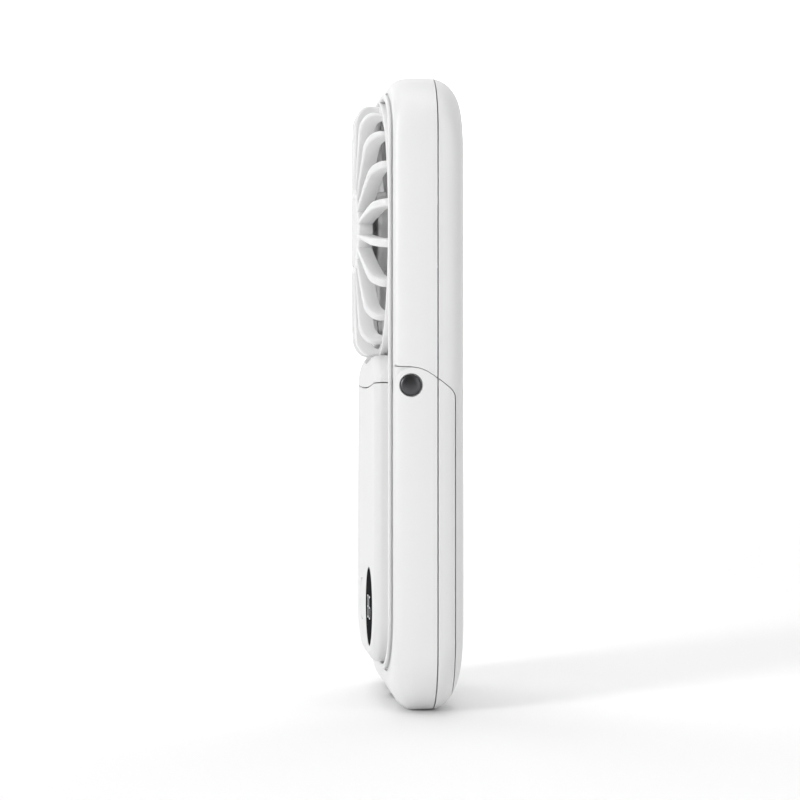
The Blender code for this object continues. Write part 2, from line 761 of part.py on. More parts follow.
def make_core_frame():
    frame = part("core_frame", "shell", along_y(opening_outline(GAP), -RIM_PROUD, TRAY_DEPTH))
    hollow = opening_outline(GAP + RIM_WALL)
    rooms = tool(
        "room_cut",
        along_y(hollow, -PAST, DECK[0]),
        along_y(hollow, DECK[1], BODY_DEPTH + PAST),
    )
    upper = box_outline((0, TRAY_HIGH + HEIGHT), (HALF_WIDTH + PAST, HEIGHT))
    tray_limit = tool("tray_limit_cut", along_y(upper, DUCT_END, BODY_DEPTH + PAST))
    hole = along_y(outline(DECK_HALF, DECK_LOW, DECK_HIGH, DECK_CORNER), DECK[0] - WALL, DECK[1] + WALL)
    start = DECK[0] + HALF_GAP
    lip = tool("lip_join", stacked(FAN, [(LIP_RADIUS, -RIM_PROUD), (LIP_RADIUS, DECK[1] - HALF_GAP)], FINE))
    duct = tool("duct_join", stacked(FAN, [(DUCT_OUTER, start), (DUCT_OUTER, DUCT_END)], FINE))
    post_sizes = [(POST_RADIUS, start), (POST_RADIUS, DUCT_END)]
    posts = [stacked(place, post_sizes, SMALL) for place in post_places()]
    joins = [lip, duct, tool("boss_join", *posts, *both_sides(chassis_boss))]
    cuts = [
        tool("deck_hole_cut", hole),
        tool("fan_bore_cut", fan_bore()),
        tool("screw_hole_cut", *post_holes()),
        tool("washer_seat_cut", *both_sides(washer_seat)),
        tool("pin_bore_cut", *both_sides(pin_bore)),
        tool("port_opening_cut", port_opening()),
        tool("outside_sweep_cut", outside_sweep()),
    ]
    change(frame, "DIFFERENCE", rooms, tray_limit)
    change(frame, "UNION", *joins)
    change(frame, "DIFFERENCE", *cuts)


# Grille

def rib_lines():
    """The front line and the back line of a rib, as radius and depth."""
    wide, deep = GRILLE_SHOULDER
    bend = GRILLE_RADIUS - wide
    inner_wide = BASE_INNER - bend + HALF_GAP
    inner_deep = deep - RIB_DEPTH + GRILLE_BASE[0] - GRILLE_FRONT - deep
    flat = [RIB_ROOT + (bend - RIB_ROOT) * i / 2 for i in range(2)]
    front = [(r, GRILLE_FRONT) for r in flat]
    back = [(r, GRILLE_FRONT + RIB_DEPTH) for r in flat]
    steps = 4
    for step in range(steps + 1):
        angle = QUARTER * step / steps
        front.append((bend + wide * math.sin(angle), GRILLE_FRONT + deep * (1 - math.cos(angle))))
        back.append(
            (
                bend + inner_wide * math.sin(angle),
                GRILLE_FRONT + RIB_DEPTH + inner_deep * (1 - math.cos(angle)),
            )
        )
    front.append((GRILLE_RADIUS - HALF_GAP, RIB_END))
    back.append((BASE_INNER + HALF_GAP, RIB_END))
    return front, back


def rib(angle):
    out = Vector((math.cos(angle), 0, math.sin(angle)))
    across = Vector((-math.sin(angle), 0, math.cos(angle)))
    rings = []
    for (front_r, front_d), (back_r, back_d) in zip(*rib_lines()):
        share = (front_r - RIB_ROOT) / (GRILLE_RADIUS - RIB_ROOT)
        half = (RIB_THIN + (RIB_THICK - RIB_THIN) * share) / 2
        corners = ((front_r, front_d, 1), (front_r, front_d, -1), (back_r, back_d, -1), (back_r, back_d, 1))
        rings.append([at(0, d, FAN_Z) + out * r + across * half * side for r, d, side in corners])
    return rings, False


def make_grille():
    ribs = [rib(TURN * (index + 0.5) / RIB_COUNT) for index in range(RIB_COUNT)]
    ring_profile = [
        (BASE_INNER, GRILLE_BASE[0]),
        (GRILLE_RADIUS, GRILLE_BASE[0]),
        (GRILLE_RADIUS, GRILLE_BASE[1]),
        (BASE_INNER, GRILLE_BASE[1]),
    ]
    ring = tool("grille_ring_join", turned(FAN, ring_profile, 3 * COARSE))
    floor = GRILLE_FRONT + CAP_DEPTH + HALF_GAP
    seat = CAP_RADIUS + GAP
    hub_profile = [
        (seat, GRILLE_FRONT),
        (HUB_RADIUS - HUB_ROUND, GRILLE_FRONT),
        (HUB_RADIUS, GRILLE_FRONT + HUB_ROUND),
        (HUB_RADIUS, GRILLE_FRONT + RIB_DEPTH),
        (HUB_RADIUS - HUB_RING, GRILLE_FRONT + RIB_DEPTH),
        (HUB_RADIUS - HUB_RING, floor + HUB_WALL),
    ]
    rows = [(SHAFT_RADIUS / 2, floor + HUB_WALL)]
    rows += [(r, d) for r, d in reversed(hub_profile)]
    rows += [(seat, floor), (SHAFT_RADIUS / 2, floor)]
    hub = tool("grille_hub_join", stacked(FAN, rows, MIDDLE))
    grille = part("front_grille", "shell", *ribs)
    for piece in (grille, ring, hub):
        crowned(piece)
    change(grille, "UNION", ring, hub)
    sizes = (
        (CAP_RADIUS, GRILLE_FRONT + CAP_DEPTH - HALF_GAP),
        (CAP_RADIUS, GRILLE_FRONT + HALF_GAP),
        (CAP_RADIUS - HALF_GAP, GRILLE_FRONT),
        (CAP_RADIUS / 2, GRILLE_FRONT),
    )
    crowned(part("hub_cap", "skin", stacked(FAN, sizes, MIDDLE)))


# Turning fan and motor

def blade(index):
    """A plate that twists and sweeps from the cup out to the tip."""
    rings = []
    root = CUP_RADIUS - CUP_WALL / 2
    middle = (BLADE_FRONT + BLADE_REAR) / 2
    stations = len(BLADE_PITCH)
    for i in range(stations):
        radius = root + (BLADE_RADIUS - root) * i / (stations - 1)
        pitch = math.radians(BLADE_PITCH[i])
        turn = TURN * index / BLADE_COUNT + math.radians(BLADE_SWEEP[i])
        half_long = (BLADE_REAR - BLADE_FRONT) / 2 * BLADE_LONG_SHARES[i] / math.sin(pitch)
        half_long = min(half_long, TURN * radius / BLADE_COUNT / 2 / math.cos(pitch) * BLADE_LONG_SHARES[i])
        ring = []
        for along, over in BLADE_SECTION_SHARES:
            run = along * half_long
            bow = BLADE_THICK * (1 - along**2)
            lift = over * BLADE_THICK + bow
            around = run * math.cos(pitch) - lift * math.sin(pitch)
            depth = middle + run * math.sin(pitch) + lift * math.cos(pitch)
            angle = turn + around / radius
            ring.append(at(radius * math.cos(angle), depth, FAN_Z + radius * math.sin(angle)))
        rings.append(ring)
    return rings, False


def make_impeller():
    inner = CUP_RADIUS - CUP_WALL
    floor = CUP_FRONT + CUP_WALL
    boss = SHAFT_RADIUS + CUP_WALL
    sizes = (
        (SHAFT_RADIUS + FIT, SHAFT_FRONT - FIT),
        (SHAFT_RADIUS + FIT, floor + BOSS_LONG - CUP_WALL),
        (boss, floor + BOSS_LONG - CUP_WALL),
        (boss, floor),
        (inner, floor),
        (inner, CUP_REAR),
        (CUP_RADIUS, CUP_REAR),
        (CUP_RADIUS, CUP_FRONT + CUP_ROUND),
        (CUP_RADIUS - CUP_ROUND * CUP_ROUND_SHARE, CUP_FRONT + CUP_ROUND * CUP_ROUND_SHARE),
        (CUP_RADIUS - CUP_ROUND, CUP_FRONT),
    )
    wheel = part("impeller", "inner", stacked(FAN, sizes, MIDDLE))
    blades = tool("blade_join", *[blade(index) for index in range(BLADE_COUNT)])
    room = [(inner - HALF_GAP, floor + BOSS_LONG), (inner - HALF_GAP, BODY_DEPTH)]
    bore = tool("cup_bore_cut", stacked(FAN, room, MIDDLE))
    change(wheel, "UNION", blades)
    change(wheel, "DIFFERENCE", bore)
    place_origin(wheel, at(0, 0, FAN_Z))
    return wheel


def make_motor():
    radius, wall, front = ROTOR_RADIUS, ROTOR_WALL, ROTOR_FRONT
    rod = stacked(FAN, [(SHAFT_RADIUS, SHAFT_FRONT), (SHAFT_RADIUS, SHAFT_REAR)], COARSE)
    shaft = part("motor_shaft", "steel", rod)
    hole = SHAFT_RADIUS + FIT
    rotor_profile = [
        (hole, front),
        (radius, front),
        (radius, CUP_REAR - GAP),
        (radius - wall, CUP_REAR - GAP),
        (radius - wall, front + wall),
        (hole, front + wall),
    ]
    rotor = part("rotor_cup", "steel", turned(FAN, rotor_profile, MIDDLE))
    for piece in (shaft, rotor):
        place_origin(piece, at(0, 0, FAN_Z))
    windings = tube(FAN, TUBE_RADIUS + FIT, STATOR_RADIUS, STATOR_FRONT, STATOR_REAR, MIDDLE)
    stator = part("motor_stator", "copper", windings)
    gaps = []
    for index in range(STATOR_TEETH):
        angle = TURN * index / STATOR_TEETH
        centre = (STATOR_RADIUS * math.cos(angle), FAN_Z + STATOR_RADIUS * math.sin(angle))
        gaps.append(along_y(circle(centre, WALL, 8), STATOR_FRONT - WALL, STATOR_REAR + WALL))
    change(stator, "DIFFERENCE", tool("winding_gap_cut", *gaps))
    places = (("front", TUBE_FRONT + HALF_GAP), ("rear", BASE_REAR - GAP - BEARING_LONG))
    for name, start in places:
        ring = tube(FAN, hole, TUBE_BORE - FIT, start, start + BEARING_LONG, COARSE)
        part(f"bearing_{name}", "steel", ring)


def spoke(index):
    angle = math.radians(45) + QUARTER * index
    out = Vector((math.cos(angle), math.sin(angle)))
    across = Vector((-out.y, out.x)) * SPOKE_WIDTH / 2
    inner, outer = BASE_RADIUS - WALL, POST_REACH
    ends = [out * inner - across, out * outer - across, out * outer + across, out * inner + across]
    return along_y([(end.x, FAN_Z + end.y) for end in ends], BRACKET[0], BASE_REAR - BASE_THICK / 2)


def make_bracket():
    rows = (
        (TUBE_BORE, TUBE_FRONT),
        (TUBE_RADIUS, TUBE_FRONT),
        (TUBE_RADIUS, BRACKET[0]),
        (BASE_RADIUS, BRACKET[0]),
        (BASE_RADIUS, BASE_REAR),
        (TUBE_BORE, BASE_REAR),
    )
    bracket = part("motor_bracket", "inner", turned(FAN, list(rows), MIDDLE))
    spokes = tool("spoke_join", *[spoke(index) for index in range(4)])
    lug_sizes = [(LUG_RADIUS, BRACKET[0]), (LUG_RADIUS, BRACKET[1])]
    lugs = tool("lug_join", *[stacked(place, lug_sizes, SMALL) for place in post_places()])
    seat = BRACKET[1] - GAP
    hole_sizes = [
        (SCREW_SHANK + GAP, -PAST),
        (SCREW_SHANK + GAP, seat),
        (SCREW_HEAD + GAP, seat),
        (SCREW_HEAD + GAP, BODY_DEPTH + PAST),
    ]
    holes = tool("lug_hole_cut", *[stacked(place, hole_sizes, SMALL) for place in post_places()])
    change(bracket, "UNION", spokes, lugs)
    change(bracket, "DIFFERENCE", holes)


def screw(name, place, seat, tip):
    """A pan head screw that goes forward from its seat to its tip."""
    sizes = (
        (SCREW_SHANK, tip),
        (SCREW_SHANK, seat),
        (SCREW_HEAD, seat),
        (SCREW_HEAD, seat + SCREW_HEAD_LONG * HEAD_EDGE_SHARE),
        (SCREW_HEAD * HEAD_TOP_SHARE, seat + SCREW_HEAD_LONG),
        (SCREW_SOCKET, seat + SCREW_HEAD_LONG),
        (SCREW_SOCKET, seat + SCREW_HEAD_LONG * SOCKET_SHARE),
    )
    part(name, "dark_steel", stacked(place, sizes, SMALL))


def make_screws():
    for index, place in enumerate(post_places(), 1):
        screw(f"bracket_screw_{index}", place, BRACKET[1], BRACKET[1] - SCREW_LONG)
    for index, place in enumerate(board_places(), 1):
        screw(f"board_screw_{index}", place, BOARD[1] + GAP, DECK[0] + GAP)


# Front skin

def panel_rings(shrink=0):
    """Nested outlines from the back edge of the skin round its shoulder and in over its face."""
    rows = [(PANEL_BACK, 0)]
    for step in range(SHOULDER_STEPS + 1):
        angle = QUARTER * step / SHOULDER_STEPS
        rows.append((PANEL_FRONT + PANEL_SHOULDER * (1 - math.sin(angle)), 1 - math.cos(angle)))
    rings = []
    for depth, share in rows:
        side, low, high = (size * share for size in PANEL_INSETS)
        corner = (
            PANEL_CORNER[0] - side - shrink,
            PANEL_CORNER[1] - low / 2 - shrink,
            PANEL_CORNER[2] - high / 2 - shrink,
        )
        ring = outline(
            PANEL_HALF - side - shrink, PANEL_LOW + low + shrink, PANEL_HIGH - high - shrink, corner
        )
        rings.append([at(x, depth + shrink, z) for x, z in ring])
    face = rings[-1]
    middle_z = sum(point.z for point in face) / len(face)
    for share in SPREAD_SHARES:
        rise = share * SPREAD_RISE_SHARE
        ring = [Vector((p.x * (1 - share), p.y, p.z + (middle_z - p.z) * rise)) for p in face]
        rings.append(ring)
    return rings


def skin_solid(name, kind, make):
    """The whole front skin as one object, made hollow behind."""
    outer = panel_rings()
    inner = panel_rings(PANEL_WALL)[::2] + panel_rings(PANEL_WALL)[-1:]
    inner[0] = [Vector((p.x, EDGE_Y + PANEL_BACK + PAST, p.z)) for p in inner[0]]
    piece = make(name, kind, (outer, False))
    hollow = tool(f"{name}_hollow_cut", (inner, False))
    for item in (piece, hollow):
        crowned(item)
    change(piece, "DIFFERENCE", hollow)
    return piece


def seam_curve(offset):
    steps = 12
    points = []
    for step in range(steps + 1):
        share = 2 * step / steps - 1
        x = share * (PANEL_HALF + WALL)
        points.append((x, PANEL_SEAM - PANEL_SEAM_DROP * (1 - share**2) + offset))
    return points


def round_seat(x, z, radius, front, rear):
    return stacked((x, z), [(radius, front), (radius, rear)], MIDDLE)


def make_panels():
    far = PANEL_HALF + WALL
    above = seam_curve(HALF_GAP) + [(far, HEIGHT), (-far, HEIGHT)]
    below = seam_curve(-HALF_GAP) + [(far, -PAST), (-far, -PAST)]
    upper = skin_solid("upper_panel", "skin", part)
    lower = skin_solid("front_panel", "skin", part)
    change(upper, "INTERSECT", tool("above_panel_seam", along_y(above, -PAST, PAST)))
    dip = tool("grille_dip_cut", along_y(circle(FAN, LIP_RADIUS + GAP, FINE + MIDDLE), -PAST, PAST))
    change(upper, "DIFFERENCE", dip)
    window = (WINDOW_X, WINDOW_Z)
    rim = round_seat(*window, WINDOW_RIM, PANEL_FRONT + PANEL_WALL / 2, PANEL_FRONT + WINDOW_SEAT)
    rims = tool("window_seat_join", rim)
    seat = PANEL_FRONT + WINDOW_THICK + GAP
    window_sizes = [
        (WINDOW_LEDGE, PANEL_BACK + PAST),
        (WINDOW_LEDGE, seat),
        (WINDOW_RADIUS + HALF_GAP, seat),
        (WINDOW_RADIUS + HALF_GAP, PANEL_FRONT - PAST),
    ]
    cuts = tool(
        "window_cut",
        stacked(window, window_sizes, MIDDLE),
        round_seat(BUTTON_X, BUTTON_Z, BUTTON_RADIUS + GAP, PANEL_FRONT - PAST, PANEL_BACK + PAST),
    )
    for item in (rims, cuts):
        crowned(item)
    change(lower, "INTERSECT", tool("below_panel_seam", along_y(below, -PAST, PAST)))
    change(lower, "UNION", rims)
    change(lower, "DIFFERENCE", cuts)


def disc_rings(x, z, sizes):
    return stacked((x, z), sizes, MIDDLE)


def make_window():
    front, back = PANEL_FRONT, PANEL_FRONT + WINDOW_THICK
    sizes = [
        (WINDOW_RADIUS, back),
        (WINDOW_RADIUS, front + HALF_GAP),
        (WINDOW_RADIUS - HALF_GAP, front),
    ]
    sizes += [(WINDOW_RADIUS * share, front) for share in WINDOW_RING_SHARES]
    crowned(part("display_window", "black_glass", disc_rings(WINDOW_X, WINDOW_Z, sizes)))
    module = box_outline((WINDOW_X, WINDOW_Z), MODULE_HALF)
    part("display_module", "display", along_y(module, *MODULE))


def make_button():
    front = PANEL_FRONT
    flange = PANEL_FRONT + PANEL_WALL + GAP
    stem = SWITCH[0] - PLUNGER_LONG - BUTTON_TRAVEL - GAP
    sizes = (
        (BUTTON_STEM, stem),
        (BUTTON_STEM, flange + BUTTON_FLANGE_LONG),
        (BUTTON_FLANGE, flange + BUTTON_FLANGE_LONG),
        (BUTTON_FLANGE, flange),
        (BUTTON_RADIUS, flange),
        (BUTTON_RADIUS, front + HALF_GAP),
        (BUTTON_RADIUS - HALF_GAP, front),
        (BUTTON_RADIUS / 2, front),
    )
    button = part("power_button", "skin", disc_rings(BUTTON_X, BUTTON_Z, sizes))
    crowned(button, full=flange + BUTTON_FLANGE_LONG, none=stem)
    place_origin(button, at(BUTTON_X, PANEL_FRONT, BUTTON_Z))
    centre = (BUTTON_X, BUTTON_Z)
    case = along_y(box_outline(centre, (SWITCH_HALF, SWITCH_HALF)), *SWITCH)
    switch = part("button_switch", "dark_steel", case)
    plunger = round_seat(*centre, PLUNGER_RADIUS, SWITCH[0] - PLUNGER_LONG, SWITCH[1] - GAP)
    change(switch, "UNION", tool("plunger_join", plunger))


# Electronics

def make_board():
    points = outline(BOARD_HALF, BOARD_LOW, BOARD_HIGH, BOARD_CORNER)
    board = part("main_board", "board", along_y(points, *BOARD))
    chips = []
    for across, up, wide, tall, thick in CHIP_SHARES:
        middle = (BOARD_HALF * across, BOARD_LOW + BOARD_LONG * up)
        sides = box_outline(middle, (CHIP * wide / 2, CHIP * tall / 2))
        chips.append(along_y(sides, BOARD[1] - HALF_GAP, BOARD[1] + CHIP * thick))
    hole_sizes = [(SCREW_SHANK + HALF_GAP, -PAST), (SCREW_SHANK + HALF_GAP, PAST)]
    holes = [stacked(place, hole_sizes, SMALL) for place in board_places()]
    change(board, "UNION", tool("chip_join", *chips))
    change(board, "DIFFERENCE", tool("board_hole_cut", *holes))


def rounded_box(half, low, high, radius, steps=4):
    """X and depth points of a rounded box section, low and high being its depths."""
    points = []
    for centre_x, centre_d, start in (
        (half - radius, low + radius, -QUARTER),
        (half - radius, high - radius, 0),
        (radius - half, high - radius, QUARTER),
        (radius - half, low + radius, 2 * QUARTER),
    ):
        for step in range(steps + 1):
            angle = start + QUARTER * step / steps
            points.append((centre_x + radius * math.cos(angle), centre_d + radius * math.sin(angle)))
    return points


def make_power():
    section = rounded_box(BATTERY_HALF, *BATTERY, BATTERY_ROUND)
    part("battery", "cell", along_z(section, BATTERY_LOW, BATTERY_HIGH))
    case = rounded_box(PORT_HALF, *PORT, PORT_ROUND)
    port = part("usb_port", "steel", along_z(case, PORT_LOW, PORT_LOW + PORT_LONG))
    mouth_depths = PORT[0] + PORT_WALL, PORT[1] - PORT_WALL
    mouth = rounded_box(PORT_HALF - PORT_WALL, *mouth_depths, PORT_ROUND - PORT_WALL)
    tongue = box_outline(PORT_MIDDLE, (TONGUE_HALF, TONGUE_THICK))
    ends = PORT_LOW + PORT_WALL, PORT_LOW + PORT_LONG - PORT_WALL
    change(port, "DIFFERENCE", tool("port_mouth_cut", along_z(mouth, PORT_LOW - PAST, PORT_LOW + PORT_DEEP)))
    change(port, "UNION", tool("tongue_join", along_z(tongue, *ends)))


def lead(name, kind, places):
    """A wire through the places, with round bends."""
    line = smooth([places[0], *places, places[-1]], 3)
    points = [at(*place) for place in line]
    rings = []
    for i, point in enumerate(points):
        ahead = points[min(i + 1, len(points) - 1)] - points[max(i - 1, 0)]
        turn = ahead.to_track_quat("Z", "Y")
        section = circle((0, 0), LEAD_RADIUS, LEAD_SIDES)
        rings.append([point + turn @ Vector((u, v, 0)) for u, v in section])
    part(name, kind, (rings, False))


def make_leads():
    over = TRAY_HIGH + LEAD_DROP / 2
    board_end = BOARD_HIGH - LEAD_CLEAR
    board_face = BOARD[1] + LEAD_CLEAR
    front = BATTERY[0] - LEAD_CLEAR / 2
    motor = (
        (0, LEAD_BACK, FAN_Z - BASE_RADIUS),
        (0, LEAD_BACK, FAN_Z - BASE_RADIUS - LEAD_DROP / 2),
        (LEAD_SIDE / 6, LEAD_LOW, over + LEAD_DROP),
        (LEAD_SIDE * 2 / 3, LEAD_LOW, over),
        (LEAD_SIDE, LEAD_LOW - LEAD_CLEAR, TRAY_HIGH),
        (LEAD_SIDE, (front + LEAD_LOW) / 2, TRAY_HIGH - LEAD_DROP),
        (LEAD_SIDE, front, BOARD_HIGH + LEAD_DROP),
        (BATTERY_HALF, board_face, BOARD_HIGH),
        (BATTERY_HALF - LEAD_CLEAR, board_face, board_end),
    )
    middle = (BATTERY[0] + BATTERY[1]) / 2
    battery = (
        (-BATTERY_HALF * 3 / 4, middle, BATTERY_HIGH + LEAD_CLEAR),
        (-BATTERY_HALF * 4 / 5, middle, BATTERY_HIGH + 2 * LEAD_CLEAR),
        (-LEAD_SIDE + LEAD_CLEAR, middle - LEAD_CLEAR, TRAY_HIGH),
        (-LEAD_SIDE, front, TRAY_HIGH - LEAD_DROP),
        (-LEAD_SIDE, front, BOARD_HIGH + LEAD_DROP),
        (-BATTERY_HALF, board_face, BOARD_HIGH),
        (-BATTERY_HALF + LEAD_CLEAR, board_face, board_end),
    )
    lead("motor_lead", "red", motor)
    lead("battery_lead", "red", battery)


def build():
    above = tool("above_seam", region_above_seam())
    below = tool("below_seam", region_below_seam())
    make_front_shell(above)
    make_rear_cover(above)
    make_hanger(below)
    make_pins()
    make_core_frame()
    make_grille()
    make_impeller()
    make_motor()
    make_bracket()
    make_screws()
    make_panels()
    make_window()
    make_button()
    make_board()
    make_power()
    make_leads()


build()
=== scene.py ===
import json
import math

import bmesh
import bpy
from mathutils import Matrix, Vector


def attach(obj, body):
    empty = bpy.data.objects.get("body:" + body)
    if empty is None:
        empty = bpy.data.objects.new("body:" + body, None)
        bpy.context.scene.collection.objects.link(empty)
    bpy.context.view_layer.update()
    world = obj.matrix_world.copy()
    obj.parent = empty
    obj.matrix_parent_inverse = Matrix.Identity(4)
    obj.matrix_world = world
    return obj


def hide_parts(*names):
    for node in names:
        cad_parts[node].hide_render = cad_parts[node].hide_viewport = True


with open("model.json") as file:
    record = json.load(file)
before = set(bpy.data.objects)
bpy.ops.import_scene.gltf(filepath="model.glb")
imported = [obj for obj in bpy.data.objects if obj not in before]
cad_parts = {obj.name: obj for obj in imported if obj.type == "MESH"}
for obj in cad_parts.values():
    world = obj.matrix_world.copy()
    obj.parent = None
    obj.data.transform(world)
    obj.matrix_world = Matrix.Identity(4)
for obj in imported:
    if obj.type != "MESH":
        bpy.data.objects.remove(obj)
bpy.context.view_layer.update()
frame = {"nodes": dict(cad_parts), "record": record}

MM = 0.001
TURN = 2 * math.pi
QUARTER = math.pi / 2


# Finishes

class Reading:
    """A socket that varies over a surface, and the sums made with it."""

    def __init__(self, finish, socket):
        self.finish = finish
        self.socket = socket

    def sum(self, operation, first, second):
        return self.finish.node("ShaderNodeMath", {"operation": operation}, {0: first, 1: second})

    def __add__(self, other):
        return self.sum("ADD", self, other)

    def __radd__(self, other):
        return self.sum("ADD", other, self)

    def __sub__(self, other):
        return self.sum("SUBTRACT", self, other)

    def __rsub__(self, other):
        return self.sum("SUBTRACT", other, self)

    def __mul__(self, other):
        return self.sum("MULTIPLY", self, other)

    def __rmul__(self, other):
        return self.sum("MULTIPLY", other, self)

    def clipped(self):
        return self.finish.node("ShaderNodeClamp", {}, {"Value": self})


class Finish:
    """A material of one surface, built up node by node."""

    def __init__(self, name, **fixed):
        self.material = bpy.data.materials.new(name)
        self.material.use_nodes = True
        self.tree = self.material.node_tree
        self.shader = self.tree.nodes["Principled BSDF"]
        for socket, value in fixed.items():
            self.shader.inputs[socket.replace("_", " ")].default_value = value

    def node(self, kind, settings, values, output=0):
        """A new node: its settings first, then the values or links of its sockets."""
        node = self.tree.nodes.new(kind)
        for name, value in settings.items():
            setattr(node, name, value)
        for socket, value in values.items():
            self.put(node.inputs[socket], value)
        return Reading(self, node.outputs[output])

    def put(self, socket, value):
        """Links a reading to a socket, or sets a plain value on it."""
        if isinstance(value, Reading):
            self.tree.links.new(value.socket, socket)
        else:
            socket.default_value = value

    def feed(self, **readings):
        """Joins readings to the shader's sockets and gives the finished material."""
        for socket, value in readings.items():
            self.put(self.shader.inputs[socket.replace("_", " ")], value)
        return self.material

    def place(self):
        return self.node("ShaderNodeTexCoord", {}, {}, "Object")

    def grain(self, per_mm, detail=2):
        """Soft noise with this many grains to the millimetre."""
        values = {"Vector": self.place(), "Scale": per_mm / MM, "Detail": detail}
        return self.node("ShaderNodeTexNoise", {}, values)

    def square_on(self, most):
        """A weight that is highest where the surface faces the eye and 0 where it turns away."""
        facing = self.node("ShaderNodeLayerWeight", {}, {"Blend": 0.5}, "Facing")
        return (most - facing).clipped()

    def bands(self, direction, scale):
        """Even ridges that run across a direction."""
        values = {"Vector": self.place(), "Scale": scale}
        return self.node("ShaderNodeTexWave", {"bands_direction": direction}, values)

    def tint(self, share, first, second):
        """From the first colour to the second as share goes from 0 to 1."""
        values = {0: share, 6: (*first, 1), 7: (*second, 1)}
        return self.node("ShaderNodeMix", {"data_type": "RGBA"}, values, 2)

    def relief(self, height, depth_mm, strength=1):
        values = {"Strength": strength, "Distance": depth_mm * MM, "Height": height}
        return self.node("ShaderNodeBump", {}, values)


CLOUD = 0.05
UNEVEN = 0.007
PEEL_DEPTH = 0.004
GLOSS_WEIGHT = 0.8


def whites(level):
    """The two whites that a moulded surface varies between."""
    return [level - UNEVEN] * 3, [level, level, level * 1.002]


def shade_greyed_white():
    """The fan wheel's white, greyed to half as painted shade of the dark duct it turns in, with the
    slight unevenness of a moulded surface.
    """
    finish = Finish("matte_white_painted_shade", IOR=1.46, Specular_IOR_Level=0.4)
    cloud = finish.grain(CLOUD)
    return finish.feed(
        # whites(0.5): painted shade, the wheel's white greyed to stand in for the shade inside the
        # duct
        Base_Color=finish.tint(cloud, *whites(0.5)),
        Roughness=0.44 + cloud * 0.02,
        Normal=finish.relief(finish.grain(2.4), PEEL_DEPTH, 0.25),
    )


def glazed_white(name, level, roughness, peel):
    """White plastic whose gloss shows where it is seen square on and fades where it turns away."""
    finish = Finish(name, Specular_IOR_Level=0, Coat_Roughness=roughness)
    cloud = finish.grain(CLOUD)
    return finish.feed(
        Base_Color=finish.tint(cloud, *whites(level)),
        Roughness=0.48 + cloud * 0.04,
        Coat_Weight=finish.square_on(GLOSS_WEIGHT),
        Normal=finish.relief(finish.grain(peel), PEEL_DEPTH, 0.25),
    )


def metal(name, colour, roughness, stretch):
    """Turned or drawn metal with fine lines."""
    finish = Finish(name, Metallic=1)
    values = {"Vector": finish.place(), "Scale": stretch}
    lines = finish.node("ShaderNodeMapping", {"vector_type": "POINT"}, values)
    scratch = finish.node("ShaderNodeTexNoise", {}, {"Vector": lines, "Scale": 1 / MM, "Detail": 3})
    dark = [value * 0.86 for value in colour]
    return finish.feed(
        Base_Color=finish.tint(scratch, dark, colour),
        Roughness=roughness - 0.06 + scratch * 0.12,
        Normal=finish.relief(scratch, 0.003, 0.2),
    )


def black_window():
    """The polished black disc over the display."""
    finish = Finish("black_window", IOR=1.45, Specular_IOR_Level=0, Coat_Roughness=0.04)
    cloud = finish.grain(0.08)
    return finish.feed(
        Base_Color=finish.tint(cloud, (0.014, 0.014, 0.015), (0.022, 0.022, 0.023)),
        Roughness=0.3 + cloud * 0.1,
        Coat_Weight=finish.square_on(GLOSS_WEIGHT),
    )


def smoked_module():
    """The dark moulded body of the display."""
    finish = Finish("smoked_module", IOR=1.45)
    speckle = finish.grain(3)
    return finish.feed(
        Base_Color=finish.tint(speckle, (0.03, 0.03, 0.035), (0.055, 0.055, 0.06)),
        Roughness=0.38 + speckle * 0.14,
        Normal=finish.relief(speckle, 0.01, 0.3),
    )


def solder_mask():
    """A green board with a darker weave under the lacquer."""
    finish = Finish("solder_mask", IOR=1.5, Coat_Weight=0.3)
    weave = finish.bands("DIAGONAL", 900)
    cloud = finish.grain(0.4)
    return finish.feed(
        Base_Color=finish.tint(weave * 0.3 + cloud * 0.5, (0.01, 0.12, 0.045), (0.02, 0.2, 0.08)),
        Roughness=0.32 + cloud * 0.15,
        Normal=finish.relief(weave, 0.01, 0.2),
    )


def copper_windings():
    """Enamelled wire wound round the teeth, as fine ridges."""
    finish = Finish("copper_windings", Metallic=1)
    turns = finish.bands("Y", 1400)
    cloud = finish.grain(0.5)
    return finish.feed(
        Base_Color=finish.tint(turns * 0.7 + cloud * 0.3, (0.38, 0.13, 0.05), (0.78, 0.38, 0.19)),
        Roughness=0.28 + cloud * 0.16,
        Normal=finish.relief(turns, 0.05, 0.6),
    )


def foil_sleeve():
    """The creased blue-grey sleeve of the cell."""
    finish = Finish("foil_sleeve", Metallic=0.35)
    crease = finish.grain(0.35, 4)
    return finish.feed(
        Base_Color=finish.tint(crease, (0.2, 0.26, 0.36), (0.32, 0.4, 0.52)),
        Roughness=0.3 + crease * 0.25,
        Normal=finish.relief(crease, 0.08, 0.5),
    )


def wire_jacket():
    """The red jacket of the leads."""
    finish = Finish("wire_jacket", IOR=1.5)
    cloud = finish.grain(1.2)
    return finish.feed(
        Base_Color=finish.tint(cloud, (0.42, 0.02, 0.018), (0.6, 0.035, 0.03)),
        Roughness=0.36 + cloud * 0.12,
        Normal=finish.relief(cloud, 0.01, 0.3),
    )


def worn_washer():
    """The off-white plastic of the friction washers, rubbed a little dull."""
    finish = Finish("worn_washer", IOR=1.5)
    cloud = finish.grain(0.8)
    return finish.feed(
        Base_Color=finish.tint(cloud, (0.66, 0.66, 0.62), (0.76, 0.76, 0.73)),
        Roughness=0.4 + cloud * 0.15,
        Normal=finish.relief(cloud, 0.01, 0.25),
    )


def lit_digits():
    """The lit segments of the display, with a slightly uneven glow."""
    finish = Finish("lit_digits", Emission_Strength=0.25, Roughness=0.5)
    cloud = finish.grain(1.5)
    glow = finish.tint(cloud, (0.5, 0.51, 0.52), (0.6, 0.61, 0.62))
    return finish.feed(Base_Color=glow, Emission_Color=glow)


